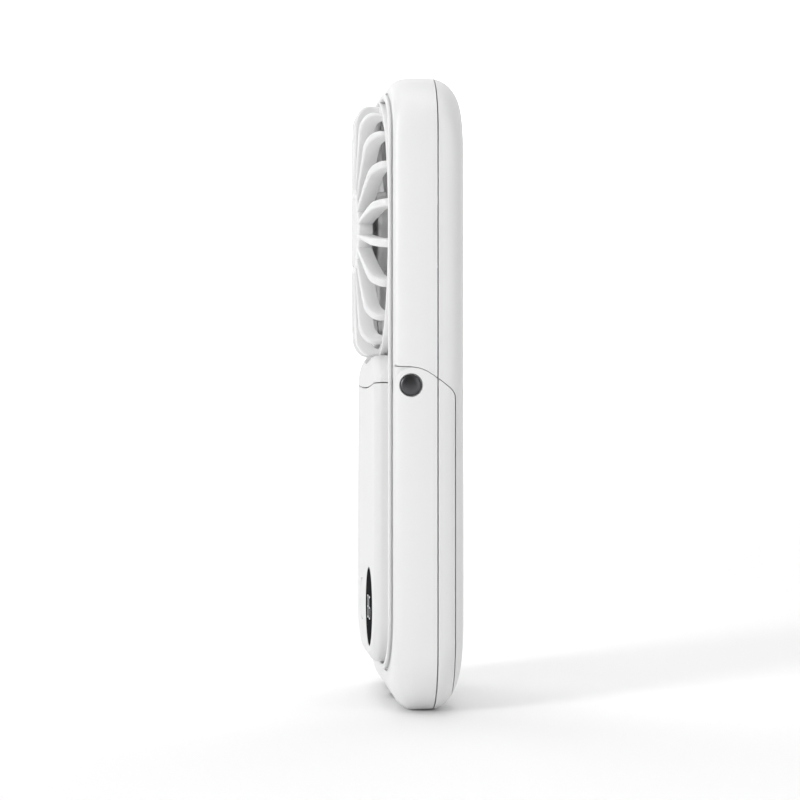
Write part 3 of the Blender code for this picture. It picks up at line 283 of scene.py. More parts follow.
LOOKS = {
    "shell": glazed_white("satin_white_plastic", 0.81, 0.3, 1.6),
    # The panel's white is set below the case's (0.77 against 0.81): painted shade that dims the
    # front-facing panel, cap and button
    "skin": glazed_white("gloss_white_painted_shade", 0.77, 0.26, 0.9),
    "inner": shade_greyed_white(),
    "window": black_window(),
    "display": smoked_module(),
    "dark_steel": metal("blackened_steel", (0.11, 0.11, 0.115), 0.34, (1, 1, 1)),
    "steel": metal("bright_steel", (0.62, 0.62, 0.62), 0.24, (1, 6, 1)),
    "washer": worn_washer(),
    "board": solder_mask(),
    "copper": copper_windings(),
    "cell": foil_sleeve(),
    "wire": wire_jacket(),
}


def dress_frame():
    """Gives each piece that comes from the frame its finish."""
    for piece in frame["record"]["subparts"]:
        for holder in frame["nodes"][piece["node"]].material_slots:
            holder.material = LOOKS[piece["material_slot"]]


# Shaping, in millimetres: depth is measured back from the front edge of the case

CASE_FRONT = 5.15  # from the model's middle forward to the front edge of the case
CASE_DEPTH = 17.4
CASE_HALF = 37.5
CASE_TOP = 156
FRONT_END = 10.51  # where the front shells end
REAR_START = 10.81  # where the back cover and the frame's rear half start
FRAME_END = 14.97  # where the swinging frame ends
BACK_ROUND_START = 9.7
BACK_ROUND_RUN = 7.7
FAN_Z = 119.7
PIVOT_Z = 80.1
PIVOT_DEPTH = 4.2
CORNER_CLOSE = 26  # steps round a quarter corner
EASED_ANGLE = 38  # degrees: edges sharper than this are rounded
EASED_ROUNDS = 2


def at(x, depth, z):
    """A place in the model, in metres."""
    return Vector((x, depth - CASE_FRONT, z)) * MM


def set_in(point, depth):
    """A point of an outline, set at a depth."""
    return at(point[0], depth, point[1])


def steps(start, end, count):
    """Evenly spaced values from start to end, both included."""
    return [start + (end - start) * index / count for index in range(count + 1)]


def circle(x, z, radius, count=64):
    """X and Z points of a circle."""
    angles = [TURN * index / count for index in range(count)]
    return [(x + radius * math.cos(angle), z + radius * math.sin(angle)) for angle in angles]


def rounded_outline(half, low, high, corner, close=CORNER_CLOSE):
    """X and Z points of a rectangle with quarter ellipses as corners."""
    wide, low_rise, high_rise = corner
    quarters = (
        (half - wide, low + low_rise, low_rise, -QUARTER),
        (half - wide, high - high_rise, high_rise, 0),
        (wide - half, high - high_rise, high_rise, QUARTER),
        (wide - half, low + low_rise, low_rise, 2 * QUARTER),
    )
    points = []
    for x, z, rise, start in quarters:
        for angle in steps(start, start + QUARTER, close):
            points.append((x + wide * math.cos(angle), z + rise * math.sin(angle)))
    return points


def add_rows(shape, rows, looped=False, ends="caps"):
    """Joins rings of points by faces; a ladder end joins each point to the one facing it."""
    made = [[shape.verts.new(point) for point in row] for row in rows]
    pairs = list(zip(made, made[1:]))
    if looped:
        pairs.append((made[-1], made[0]))
    for first, second in pairs:
        for i in range(len(first)):
            j = (i + 1) % len(first)
            shape.faces.new((first[i], first[j], second[j], second[i]))
    if looped:
        return
    for row in (made[0], made[-1]):
        if ends == "caps":
            shape.faces.new(row)
            continue
        for i in range(len(row) // 2 - 1):
            j = len(row) - 1 - i
            shape.faces.new((row[i], row[i + 1], row[j - 1], row[j]))


def piece_of(name, *bodies):
    """An object made of closed bodies, each rows of points, alone or with settings of add_rows."""
    shape = bmesh.new()
    for body in bodies:
        rows, settings = body if isinstance(body, tuple) else (body, {})
        add_rows(shape, rows, **settings)
    bmesh.ops.recalc_face_normals(shape, faces=shape.faces)
    mesh = bpy.data.meshes.new(name)
    shape.to_mesh(mesh)
    shape.free()
    piece = bpy.data.objects.new(name, mesh)
    bpy.context.scene.collection.objects.link(piece)
    return piece


def settle(piece):
    """Makes the modifiers part of the mesh."""
    tree = bpy.context.evaluated_depsgraph_get()
    mesh = bpy.data.meshes.new_from_object(piece.evaluated_get(tree))
    piece.modifiers.clear()
    piece.data = mesh


def carve(piece, operation, *cutters):
    """Cuts a piece by others, which are used up."""
    for cutter in cutters:
        step = piece.modifiers.new(cutter.name, "BOOLEAN")
        step.operation = operation
        step.solver = "EXACT"
        step.object = cutter
    settle(piece)
    for cutter in cutters:
        bpy.data.objects.remove(cutter, do_unlink=True)


def ease_edges(piece, width):
    """Rounds the sharp edges by a width, where there is one, and smooths the rest."""
    shape = bmesh.new()
    shape.from_mesh(piece.data)
    bmesh.ops.remove_doubles(shape, verts=shape.verts, dist=0.004 * MM)
    bmesh.ops.dissolve_degenerate(shape, dist=0.002 * MM, edges=shape.edges)
    shape.to_mesh(piece.data)
    shape.free()
    for face in piece.data.polygons:
        face.use_smooth = True
    if width:
        bevel = piece.modifiers.new("eased_edges", "BEVEL")
        bevel.width = width * MM
        bevel.segments = EASED_ROUNDS
        bevel.limit_method = "ANGLE"
        bevel.angle_limit = math.radians(EASED_ANGLE)
        bevel.harden_normals = True
        bevel.use_clamp_overlap = True
        settle(piece)


def dress(piece, slot, body, *nodes):
    """Gives a piece its finish, the body that it moves with and the nodes that it stands for."""
    piece.data.materials.clear()
    piece.data.materials.append(LOOKS[slot])
    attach(piece, body)
    if nodes:
        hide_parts(*nodes)


# Case shells

def rounding(depth, size, run):
    """How far a quarter ellipse stands in at this depth."""
    left = min(1, max(0, 1 - depth / run))
    return size * (1 - math.sqrt(1 - left**2))


def case_outline(depth, shrink=0):
    """The case at a depth: half width, foot, top, corner width, low rise and high rise."""
    back = CASE_DEPTH - depth
    side = rounding(depth, 2.4, 10.5) + rounding(back, 5, BACK_ROUND_RUN)
    top = rounding(depth, 2.3, 5) + rounding(back, 8.6, BACK_ROUND_RUN)
    low = rounding(depth, 7.9, 6) + rounding(back, 10.8, BACK_ROUND_RUN)
    half = CASE_HALF - side - shrink
    rises = 16 - 0.3 * low - shrink, 14 - 0.3 * top - shrink
    return half, low + shrink, CASE_TOP - top - shrink, 13.5 - 0.7 * side - shrink, *rises


OPENING_HALF = 34.6
OPENING_FLAT = 12.6  # half of the straight stretch between the lower corners
OPENING_CORNER = 22
OPENING_RISE = 15
OPENING = (OPENING_HALF, 8.2, 153.6, OPENING_CORNER, OPENING_RISE, 13)
FRAME_REACH = 71.9  # from the pins down to the inner side of the frame's foot
SEAM_GAP = 0.16
SEAM_GUIDES = (
    (-4, 84.6), (0, 84.6), (4.5, 84.5), (7.6, 83.7), (10.6, 81.8),
    (13.8, 79.4), (14.9, 77.9), (15.1, 76.5), (15.1, 75),
)


def eased_between(p, q, r, s, t):
    """A value between q and r, on a smooth curve that also minds p and s."""
    square = (2 * p - 5 * q + 4 * r - s) * t**2
    cube = (3 * q - p - 3 * r + s) * t**3
    return 0.5 * (2 * q + (r - p) * t + square + cube)


def curve_through(points, close):
    """A smooth line through all points but the first and last, which only guide it."""
    line = []
    for guides in zip(points, points[1:], points[2:], points[3:]):
        for t in steps(0, 1, close)[:-1]:
            line.append(tuple(eased_between(*values, t) for values in zip(*guides)))
    return line + [points[-2]]


def beside(line, distance):
    """The line moved sideways."""
    moved = []
    for i, (u, v) in enumerate(line):
        ahead, behind = line[min(i + 1, len(line) - 1)], line[max(i - 1, 0)]
        run, rise = ahead[0] - behind[0], ahead[1] - behind[1]
        length = math.hypot(run, rise)
        moved.append((u - distance * rise / length, v + distance * run / length))
    return moved


SEAM_LINE = curve_through(SEAM_GUIDES, 14)
SEAM_ABOVE = beside(SEAM_LINE, SEAM_GAP / 2)
SEAM_BELOW = beside(SEAM_LINE, -SEAM_GAP / 2)


def seam_height(line, depth):
    """Where the side seam stands at a depth."""
    for (d1, z1), (d2, z2) in zip(line, line[1:]):
        if d1 <= depth <= d2 and d2 > d1:
            return z1 + (z2 - z1) * (depth - d1) / (d2 - d1)
    return line[0][1] if depth < line[0][0] else line[-1][1]


def seam_depth(line, height):
    """Where the side seam runs at a height, where it falls towards the back."""
    for (d1, z1), (d2, z2) in zip(line, line[1:]):
        if z2 <= height <= z1 and d1 > 5:
            return d1 + (d2 - d1) * (z1 - height) / max(z1 - z2, 0.0001)
    return line[0][0] if height > 84 else line[-1][0]


def bend(outline, end, u, way):
    """A point on an outline's upper or lower half, as u goes from 0 at one side seam to 5."""
    half, low, high, wide, low_rise, high_rise = outline
    edge, rise = (high, high_rise) if way > 0 else (low, low_rise)
    turn = edge - way * rise
    side = 1 if u <= 2.5 else -1
    u = min(u, 5 - u)
    if u <= 1:
        return side * half, end + (turn - end) * u
    if u <= 2:
        angle = QUARTER * (u - 1)
        return side * (half - wide + wide * math.cos(angle)), turn + way * rise * math.sin(angle)
    return side * (half - wide) * (5 - 2 * u), edge


ROUTE_HALF = steps(0, 1, 10)[:-1] + steps(1, 2, CORNER_CLOSE)[:-1] + steps(2, 2.5, 3)
ROUTE = ROUTE_HALF + [5 - u for u in reversed(ROUTE_HALF[:-1])]
FRONT_DEPTHS = [8 * (1 - math.cos(angle)) for angle in steps(0, QUARTER, 12)] + [9.7, FRONT_END]


def upper_front():
    """The upper half of the case, a bow over the front opening."""
    rows = []
    for u in ROUTE:
        outer, inner = [], []
        for depth in FRONT_DEPTHS:
            end = seam_height(SEAM_ABOVE, depth)
            outer.append(set_in(bend(case_outline(depth), end, u, 1), depth))
            inner.append(set_in(bend(OPENING, end, u, 1), depth))
        rows.append(outer + inner[::-1])
    return piece_of("front_bow", (rows, {"ends": "ladder"}))


def lying(profile, side, count=48):
    """Rows of a body turned about the pins' axis on one side, from radius and X."""
    rows = []
    for radius, x in profile:
        ring = circle(PIVOT_DEPTH, PIVOT_Z, radius, count)
        rows.append([at(side * x, depth, z) for depth, z in ring])
    return rows


def ear_pocket(side):
    """The room in the upper shell that the ear's corner turns through."""
    sizes = ((6.3, 34.2), (6.3, 35.8), (5.6, 36.15), (5.1, 36.5), (4.7, 36.75), (4.3, 36.75))
    return lying(sizes, side, 64)


def make_upper_front():
    piece = upper_front()
    carve(piece, "DIFFERENCE", piece_of("ear_pockets", ear_pocket(1), ear_pocket(-1)))
    ease_edges(piece, 0.14)
    dress(piece, "shell", "body", "front_shell")


def sweep_inner(u, depth, end):
    """A point on the inner side of the swinging frame, which is turned about the pin."""
    side = 1 if u <= 2.5 else -1
    u = min(u, 5 - u)
    angle = QUARTER * min(1, max(0, u - 1))
    reach = FRAME_REACH - OPENING_RISE * (1 - math.sin(angle))
    low = PIVOT_Z - math.sqrt(reach**2 - (depth - PIVOT_DEPTH) ** 2)
    if u <= 1:
        return side * OPENING_HALF, end + (low - end) * u
    if u <= 2:
        return side * (OPENING_FLAT + OPENING_CORNER * math.cos(angle)), low
    return side * OPENING_FLAT * (5 - 2 * u), low


def frame_rows(depths):
    """The swinging frame between two depths, round the lower body from ear to ear."""
    rows = []
    for u in ROUTE:
        outer, inner = [], []
        for depth in depths:
            end = seam_height(SEAM_BELOW, depth)
            outer.append(set_in(bend(case_outline(depth), end, u, -1), depth))
            inner.append(set_in(sweep_inner(u, depth, end), depth))
        rows.append(outer + inner[::-1])
    return rows


CHEEK = 0.5
FAR_OUT = 60
ABOVE_EARS = 90


def ear_corner(side):
    """What is taken off the outer layer of the ear, so that only a thin cheek fills its corner."""
    far = side * FAR_OUT
    rows = []
    for depth in steps(-1, PIVOT_DEPTH, 26):
        inside = max(0, PIVOT_DEPTH**2 - (PIVOT_DEPTH - depth) ** 2)
        low = PIVOT_Z + math.sqrt(inside)
        skin = side * (case_outline(max(depth, 0))[0] - CHEEK)
        corners = ((skin, low), (far, low), (far, ABOVE_EARS), (skin, ABOVE_EARS))
        rows.append([set_in(corner, depth) for corner in corners])
    return rows


def pin_hole(side):
    """The stepped and flared hole that the pin's head sits in."""
    sizes = ((1.8, 30), (1.8, 35.5), (2.85, 35.5), (2.85, 37.25), (3.3, 37.7), (3.3, 40))
    return lying(sizes, side, 64)


PORT_DEPTH = 5.6


def charging_slot():
    """The slot through the frame's foot that a plug goes through."""
    half, radius = 3.3, 3.1
    ends = (steps(-QUARTER, QUARTER, 10), steps(QUARTER, 3 * QUARTER, 10))
    points = []
    for centre, angles in zip((half, -half), ends):
        for angle in angles:
            x, depth = centre + radius * math.cos(angle), PORT_DEPTH + radius * math.sin(angle)
            points.append((x, depth))
    return [[at(x, depth, z) for x, depth in points] for z in (-2, 12)]


def make_swing_frame():
    front = piece_of("swing_frame_front", (frame_rows(FRONT_DEPTHS), {"ends": "ladder"}))
    cutters = piece_of("frame_cuts", pin_hole(1), pin_hole(-1), charging_slot())
    corners = piece_of("ear_corners", ear_corner(1), ear_corner(-1))
    carve(front, "DIFFERENCE", cutters, corners)
    ease_edges(front, 0.14)
    dress(front, "shell", "hanger", "hanger_front")
    shares = (0, 0.15, 0.3, 0.45, 0.6, 0.75, 0.88, 1)
    rear_depths = [REAR_START + (FRAME_END - REAR_START) * share for share in shares]
    rear = piece_of("swing_frame_rear", (frame_rows(rear_depths), {"ends": "ladder"}))
    ease_edges(rear, 0.12)
    dress(rear, "shell", "hanger", "hanger_rear")


SEAM_HIGH = 82
SEAM_LOW = 75
BAND_LOW, BAND_HIGH = 74, 82.2  # where the way round the back cover has close steps
CASE_MIDDLE = 80
BACK_FLOOR = 15.23
BACK_DEEPER = 0.57
BACK_WALL = 1.6
BACK_WALL_MORE = 0.5  # how much thicker the wall is where it meets the back


def back_start(height):
    """Where the back cover begins, behind the shells or behind the swinging frame."""
    if height >= SEAM_HIGH:
        return REAR_START
    if height <= SEAM_LOW:
        return SEAM_ABOVE[-1][0]
    return max(REAR_START, seam_depth(SEAM_ABOVE, height))


def back_route():
    """Half of the way round the back cover, from the middle of its foot to that of its top."""
    way = [("foot", share) for share in steps(0, 1, 3)[:-1]]
    way += [("low corner", angle) for angle in steps(-QUARTER, 0, CORNER_CLOSE)[:-1]]
    way += [("low side", share) for share in steps(0, 1, 4)[:-1]]
    way += [("seam", height) for height in steps(BAND_LOW, BAND_HIGH, 22)[:-1]]
    way += [("high side", share) for share in steps(0, 1, 6)[:-1]]
    way += [("high corner", angle) for angle in steps(0, QUARTER, CORNER_CLOSE)[:-1]]
    return way + [("top", share) for share in steps(1, 0, 3)]


def back_point(outline, place, value):
    """The X and Z of a place on the way round an outline."""
    half, low, high, wide, low_rise, high_rise = outline
    if place == "foot":
        return (half - wide) * value, low
    if place == "top":
        return (half - wide) * value, high
    if place == "low corner":
        return half - wide + wide * math.cos(value), low + low_rise * (1 + math.sin(value))
    if place == "high corner":
        return half - wide + wide * math.cos(value), high - high_rise * (1 - math.sin(value))
    ends = {
        "low side": (low + low_rise, BAND_LOW),
        "high side": (BAND_HIGH, high - high_rise),
        "seam": (0, 1),
    }
    start, end = ends[place]
    return half, start + (end - start) * value


def back_ring(depth_of, shrink_of):
    """A ring round the back cover, with its depth and its wall given for each height."""
    right = []
    for place, value in back_route():
        height = back_point(case_outline(15), place, value)[1]
        depth = depth_of(height)
        x, z = back_point(case_outline(depth, shrink_of(height)), place, value)
        right.append((x, depth, z))
    left = [(-x, depth, z) for x, depth, z in reversed(right[1:-1])]
    return right + left


def drawn_in(ring, share, depth_of):
    """A ring drawn in towards the upright line through the middle."""
    drawn = []
    for x, _, z in ring:
        height = z + (CASE_MIDDLE - z) * share * 0.5
        drawn.append((x * (1 - share), depth_of(height), height))
    return drawn


def back_floor(height):
    """The inner face of the back, which lies deeper above the swinging frame."""
    return BACK_FLOOR + BACK_DEEPER * min(1, max(0, (height - SEAM_HIGH) / 2))


def back_rows():
    """Rings over the back cover, from its inner face out round the wall to its outer face."""
    outer = []
    for share in steps(0, 1, 16):
        def depth_of(height, share=share):
            first = math.asin((back_start(height) - BACK_ROUND_START) / BACK_ROUND_RUN)
            return BACK_ROUND_START + BACK_ROUND_RUN * math.sin(first + (QUARTER - first) * share)

        outer.append(back_ring(depth_of, lambda height: 0))
    inner = []
    for share in (0, 0.25, 0.5, 0.75, 1):
        def wall_depth(height, share=share):
            return back_start(height) + (back_floor(height) - back_start(height)) * share

        wall = BACK_WALL + BACK_WALL_MORE * share
        inner.append(back_ring(wall_depth, lambda height, wall=wall: wall))
    drawn = (0.12, 0.3, 0.5, 0.7, 0.85, 0.97)
    face = [drawn_in(outer[-1], share, lambda height: CASE_DEPTH) for share in drawn]
    floor = [drawn_in(inner[-1], share, back_floor) for share in drawn]
    rings = floor[::-1] + inner[::-1] + outer + face
    return [[at(*point) for point in ring] for ring in rings]


SLOT_HALF = 0.85
SLOT_RINGS = ((11, 17.55, 15), (19.55, 27.55, 30))  # inner radius, outer radius, count


def slot_outline(inner, outer, angle):
    """A slot with round ends, pointing at the fan's axis."""
    far, near = [], []
    for bend_angle in steps(-QUARTER, QUARTER, 6):
        out, across = SLOT_HALF * math.cos(bend_angle), SLOT_HALF * math.sin(bend_angle)
        far.append((outer - SLOT_HALF + out, across))
        near.append((inner + SLOT_HALF - out, -across))
    turn, lean = math.cos(angle), math.sin(angle)
    return [(r * turn - w * lean, FAN_Z + r * lean + w * turn) for r, w in far + near]


def intake_slots():
    """Two rings of slots through the back, as cutters."""
    slots = []
    for inner, outer, count in SLOT_RINGS:
        for index in range(count):
            outline = slot_outline(inner, outer, TURN * (index + 0.5) / count)
            slots.append([[at(x, depth, z) for x, z in outline] for depth in (13, 20)])
    return slots


def make_back_cover():
    piece = piece_of("back_cover", back_rows())
    carve(piece, "DIFFERENCE", piece_of("intake_slots", *intake_slots()))
    ease_edges(piece, 0.14)
    dress(piece, "shell", "body", "rear_cover")


# Core frame

CORE_REACH = 71.5  # from the pins down to the core's foot
CORE_FLAT = 12.3
CORE_STEP = 78.3  # below this height the core's wall runs further back
CORE_END = 14.95
RIM_OUTER = (34.3, 8.5, 153.3, (21.7, 14.7, 12.7))
RIM_INNER = (33, 9.8, 152, (20.4, 13.4, 11.4))
RIM_WALL = 1.3
RIM_FRONT = -1.1
RIM_RADIUS = 0.28
DUCT_BORE = 30.65
CAGE_SEAT = 32.7
WASHER_SEAT = 4.15
PIN_BORE = 1.65


def sweep_low(x, depth):
    """How low the core may reach, so that the swinging frame clears it."""
    across = min(1, max(0, (abs(x) - CORE_FLAT) / OPENING_CORNER))
    reach = CORE_REACH - OPENING_RISE * (1 - math.sqrt(1 - across**2))
    return PIVOT_Z - math.sqrt(reach**2 - (depth - PIVOT_DEPTH) ** 2)


def with_side_steps(line):
    """The outline with close steps along its two straight sides."""
    close = CORNER_CLOSE + 1
    (edge, start), (_, end) = line[close - 1], line[close]
    rise = [(edge, height) for height in steps(start, end, 24)[1:-1]]
    fall = [(-x, z) for x, z in reversed(rise)]
    return line[:close] + rise + line[close : 3 * close] + fall + line[3 * close :]


def rim_rows():
    """The wall round the core, with a rounded front edge."""
    outer, inner = (with_side_steps(rounded_outline(*sizes)) for sizes in (RIM_OUTER, RIM_INNER))
    rows = []
    for (x1, z1), (x2, z2) in zip(outer, inner):
        rear = FRONT_END if (z1 + z2) / 2 > CORE_STEP else CORE_END
        points = []
        for share, depth in rim_section(rear):
            x, z = x1 + (x2 - x1) * share, z1 + (z2 - z1) * share
            points.append(at(x, depth, max(z, sweep_low(x, depth) + RIM_WALL * share)))
        rows.append(points)
    return rows


def rim_section(rear):
    """Shares of the wall from its outer side, and depths, round the rim and its outer groove."""
    outer = []
    for angle in steps(0, QUARTER, 5):
        share = RIM_RADIUS * (1 - math.cos(angle)) / RIM_WALL
        outer.append((share, RIM_FRONT + RIM_RADIUS * (1 - math.sin(angle))))
    inner = [(1 - share, depth) for share, depth in reversed(outer)]
    wall = (1.5, 5, 9, rear)
    groove = [(0, 0.1), (0.3, 0.05), (0.3, -0.22), (0, -0.27)]
    rising = [(0, depth) for depth in reversed(wall)]
    return rising + groove + outer + inner + [(1, depth) for depth in wall]


def turned(profile, count=96, x=0, z=FAN_Z):
    """Rows of a ring turned about an axis that points to the front, from radius and depth."""
    rows = []
    for angle in (TURN * index / count for index in range(count)):
        out, up = math.cos(angle), math.sin(angle)
        rows.append([at(x + r * out, depth, z + r * up) for r, depth in profile])
    return rows, {"looped": True}


def stacked(profile, count=64, x=0, z=FAN_Z):
    """Rows of a solid body turned about such an axis."""
    return [[at(px, depth, pz) for px, pz in circle(x, z, r, count)] for r, depth in profile]


def plate(points, front, rear):
    """An outline as a flat body between two depths."""
    return [[at(x, depth, z) for x, z in points] for depth in (front, rear)]


def make_rim():
    rim = piece_of("core_rim", (rim_rows(), {"looped": True}))
    seats = [lying([(WASHER_SEAT, 33.6), (WASHER_SEAT, 40)], side) for side in (1, -1)]
    bores = [lying([(PIN_BORE, 28), (PIN_BORE, 40)], side) for side in (1, -1)]
    carve(rim, "DIFFERENCE", piece_of("washer_seats", *seats), piece_of("pin_bores", *bores))
    mouth = plate([(-4.8, -5), (4.8, -5), (4.8, 12.4), (-4.8, 12.4)], 3.7, 7.5)
    carve(rim, "DIFFERENCE", piece_of("port_mouth", mouth))
    ease_edges(rim, 0)
    dress(rim, "shell", "body", "core_frame")


def make_deck():
    outline = rounded_outline(33.4, 9.4, 152.4, (20.8, 13.8, 11.8))
    deck = piece_of("core_deck", plate(outline, 0.8, 2.2))
    room = plate(rounded_outline(20.7, 13.9, 82.6, (6, 5, 5)), -3, 5)
    bore = stacked([(CAGE_SEAT, -3), (CAGE_SEAT, 1.2), (DUCT_BORE, 1.2), (DUCT_BORE, 6)], 96)
    carve(deck, "DIFFERENCE", piece_of("deck_room", room), piece_of("deck_bore", bore))
    ease_edges(deck, 0.1)
    dress(deck, "shell", "body", "core_frame")


def make_duct():
    """The fan's duct and lip, the screw posts round it and the bosses of the pins."""
    lip = [
        (CAGE_SEAT, 1.2), (CAGE_SEAT, -0.8), (32.85, -1.05), (33.15, -1.12),
        (33.45, -1.05), (33.6, -0.8), (33.6, 2.05),
    ]
    duct = [(DUCT_BORE, 1.2), (31.85, 0.95), (31.85, FRONT_END), (DUCT_BORE, FRONT_END)]
    post = [(0.9, 2), (2.4, 2), (2.4, FRONT_END), (0.9, FRONT_END)]
    boss = [(PIN_BORE, 30.4), (3.2, 30.4), (3.2, 33.5), (PIN_BORE, 33.5)]
    reach = 36.3 * math.cos(math.radians(45))
    bodies = [turned(lip), turned(duct)]
    for x, z in ((1, 1), (-1, 1), (-1, -1), (1, -1)):
        bodies.append(turned(post, 32, x * reach, FAN_Z + z * reach))
    bodies += [lying(boss, side) for side in (1, -1)]
    piece = piece_of("core_duct", *bodies)
    ease_edges(piece, 0)
    dress(piece, "shell", "body", "core_frame")


# Pins

PIN_PROFILE = (
    (0.3, 31.2), (1.5, 31.2), (1.5, 35.8), (2.35, 35.8), (2.6, 35.9), (2.6, 36.05), (2.57, 36.16),
    (2.48, 36.26), (2.3, 36.36), (2, 36.46), (1.5, 36.57), (1, 36.63), (0.3, 36.66),
)


def make_pins():
    """The two pins, as radius and X: a shank and a low domed head."""
    for side, name in ((1, "right"), (-1, "left")):
        pin = piece_of(f"pivot_pin_{name}_turned", lying(PIN_PROFILE, side, 72))
        ease_edges(pin, 0)
        mark_creases(pin, 40)
        dress(pin, "dark_steel", "body", f"pivot_pin_{name}")


def mark_creases(piece, limit):
    """Keeps the shading crisp at edges sharper than the limit."""
    shape = bmesh.new()
    shape.from_mesh(piece.data)
    for edge in shape.edges:
        if len(edge.link_faces) == 2 and edge.calc_face_angle(0) > math.radians(limit):
            edge.smooth = False
    shape.to_mesh(piece.data)
    shape.free()


# Grille

CROWN_FULL = -3.5  # the whole bend from this depth forward
CROWN_NONE = -0.2
CROWN_BOW = 340
GRILLE_FACE = -7.1
RIB_COUNT = 20
RIB_ROOT = 10.2
RIB_BEND = 27.4  # where a rib starts to turn back
RIB_RUN = 17.2
RIB_REACH = 22.2
RIB_BACK = -3.3
RIB_DEEP = 3.8
RIB_THIN = 0.8
RIB_MORE = 1.3  # how much thicker a rib is at the rim


def crowned(piece):
    """Bends the front of a piece back towards its sides."""
    for vertex in piece.data.vertices:
        depth = vertex.co.y / MM + CASE_FRONT
        share = min(1, max(0, (CROWN_NONE - depth) / (CROWN_NONE - CROWN_FULL)))
        x = vertex.co.x / MM
        vertex.co.y += share * x**2 / CROWN_BOW * MM


def rib_lines():
    """Front and back line of a rib, as radius and depth."""
    front, back = [], []
    for share in (0, 0.33, 0.66):
        radius = RIB_ROOT + RIB_RUN * share
        front.append((radius, GRILLE_FACE))
        back.append((radius, RIB_BACK))
    for angle in steps(0, QUARTER, 10):
        out, down = math.sin(angle), 1 - math.cos(angle)
        front.append((RIB_BEND + 5 * out, GRILLE_FACE + 3.6 * down))
        back.append((RIB_BEND + 3.25 * out, RIB_BACK + 2.3 * down))
    front.append((32.25, -0.6))
    back.append((30.65, -0.6))
    return front, back


def rib_section(half):
    """Shares from a rib's front line to its back line, and sides from -1 to 1, round the rib."""
    edge = half / RIB_DEEP
    section = [(edge * 0.7, 1), (edge * 0.2, 0.9), (0.006, 0.62), (0, 0)]
    section += [(share, -side) for share, side in reversed(section[:-1])]
    return section + [(0.97, -1), (1, -0.75), (1, 0.75), (0.97, 1)]


def rib(angle):
    """A rib with a rounded front edge, thicker at the rim than at the hub."""
    out = Vector((math.cos(angle), 0, math.sin(angle)))
    across = Vector((-math.sin(angle), 0, math.cos(angle)))
    rows = []
    for (r1, d1), (r2, d2) in zip(*rib_lines()):
        half = (RIB_THIN + RIB_MORE * (r1 - RIB_ROOT) / RIB_REACH) / 2
        row = []
        for share, side in rib_section(half):
            radius, depth = r1 + (r2 - r1) * share, d1 + (d2 - d1) * share
            row.append(at(0, depth, FAN_Z) + (out * radius + across * half * side) * MM)
        rows.append(row)
    return rows


def make_grille():
    ribs = [rib(TURN * (index + 0.5) / RIB_COUNT) for index in range(RIB_COUNT)]
    ring = [
        (30.5, 0.75), (30.5, -0.85), (30.65, -1), (32.25, -1),
        (32.4, -0.85), (32.4, 0.9), (30.65, 0.9),
    ]
    hub = [
        (0.3, -4.15), (9.4, -4.15), (9.4, -3.4), (9.5, -3.3), (10.9, -3.3), (11, -3.4), (11, -6.4),
        (10.95, -6.67), (10.79, -6.9), (10.56, -7.05), (10.3, GRILLE_FACE), (9.05, GRILLE_FACE),
        (8.92, -7.05), (8.9, -6.9), (8.9, -6.05), (0.3, -6.05),
    ]
    cage = piece_of("grille_cage", *ribs, turned(ring, 120), stacked(hub, 96))
    crowned(cage)
    ease_edges(cage, 0)
    mark_creases(cage, 50)
    dress(cage, "shell", "body", "front_grille")
    cap = [(8.6, -6.35), (8.6, -6.95), (8.55, -7.06)]
    cap += [(radius, GRILLE_FACE) for radius in (8.42, 5, 1.5, 0.3)]
    disc = piece_of("grille_cap", stacked(cap, 96))
    crowned(disc)
    ease_edges(disc, 0)
    mark_creases(disc, 60)
    dress(disc, "skin", "body", "hub_cap")


# Front skin

SKIN_FACE = -3.95
SKIN_SHOULDER = 2.2
SKIN_HALF = 27
SKIN_FOOT = 10.4
SKIN_TOP = 87.9
SKIN_WALL = 1.6
SKIN_SEAM_Z = 80.95
SKIN_SEAM_DIP = 1.3
SKIN_SEAM_SIDE = 0.15  # half of the seam's width
PAST_SKIN = 28.6
WINDOW_X = 11
WINDOW_Z = 24.3


def drawn_up(ring, share, middle):
    """A ring drawn in towards the upright line through its middle."""
    return [Vector((p.x * (1 - share), p.y, p.z + (middle - p.z) * share * 0.5)) for p in ring]


def skin_rings(shrink=0):
    """Nested outlines from the back edge of the skin, round its shoulder and in over its face."""
    rows = [(0.5, 0), (-0.6, 0)]
    for angle in steps(0, QUARTER, 14):
        rows.append((SKIN_FACE + SKIN_SHOULDER * (1 - math.sin(angle)), 1 - math.cos(angle)))
    rings = []
    for depth, share in rows:
        side, low, high = 2.6 * share, 2.8 * share, 3.6 * share
        corner = (17 - side - shrink, 12 - 3.5 * share - shrink, 6 - high / 2 - shrink)
        foot, top = SKIN_FOOT + low + shrink, SKIN_TOP - high - shrink
        outline = rounded_outline(SKIN_HALF - side - shrink, foot, top, corner, 20)
        rings.append([at(x, depth + shrink, z) for x, z in outline])
    face = rings[-1]
    middle = sum(point.z for point in face) / len(face)
    for share in (0.04, 0.12, 0.25, 0.4, 0.55, 0.7, 0.85, 0.97):
        rings.append(drawn_up(face, share, middle))
    return rings


def skin_solid(name):
    """The whole skin as a hollow tray, before it is cut in two."""
    outer, inner = skin_rings(), skin_rings(SKIN_WALL)
    inner[0] = [Vector((p.x, at(0, 8, 0).y, p.z)) for p in inner[0]]
    piece = piece_of(name, outer)
    carve(piece, "DIFFERENCE", piece_of(name + "_hollow", inner))
    return piece


def skin_seam(offset):
    """The line between the two pieces of the skin, which dips in the middle."""
    line = []
    for share in steps(-1, 1, 40):
        height = SKIN_SEAM_Z - SKIN_SEAM_DIP * (1 - share**2) + offset
        line.append((share * PAST_SKIN, height))
    return line


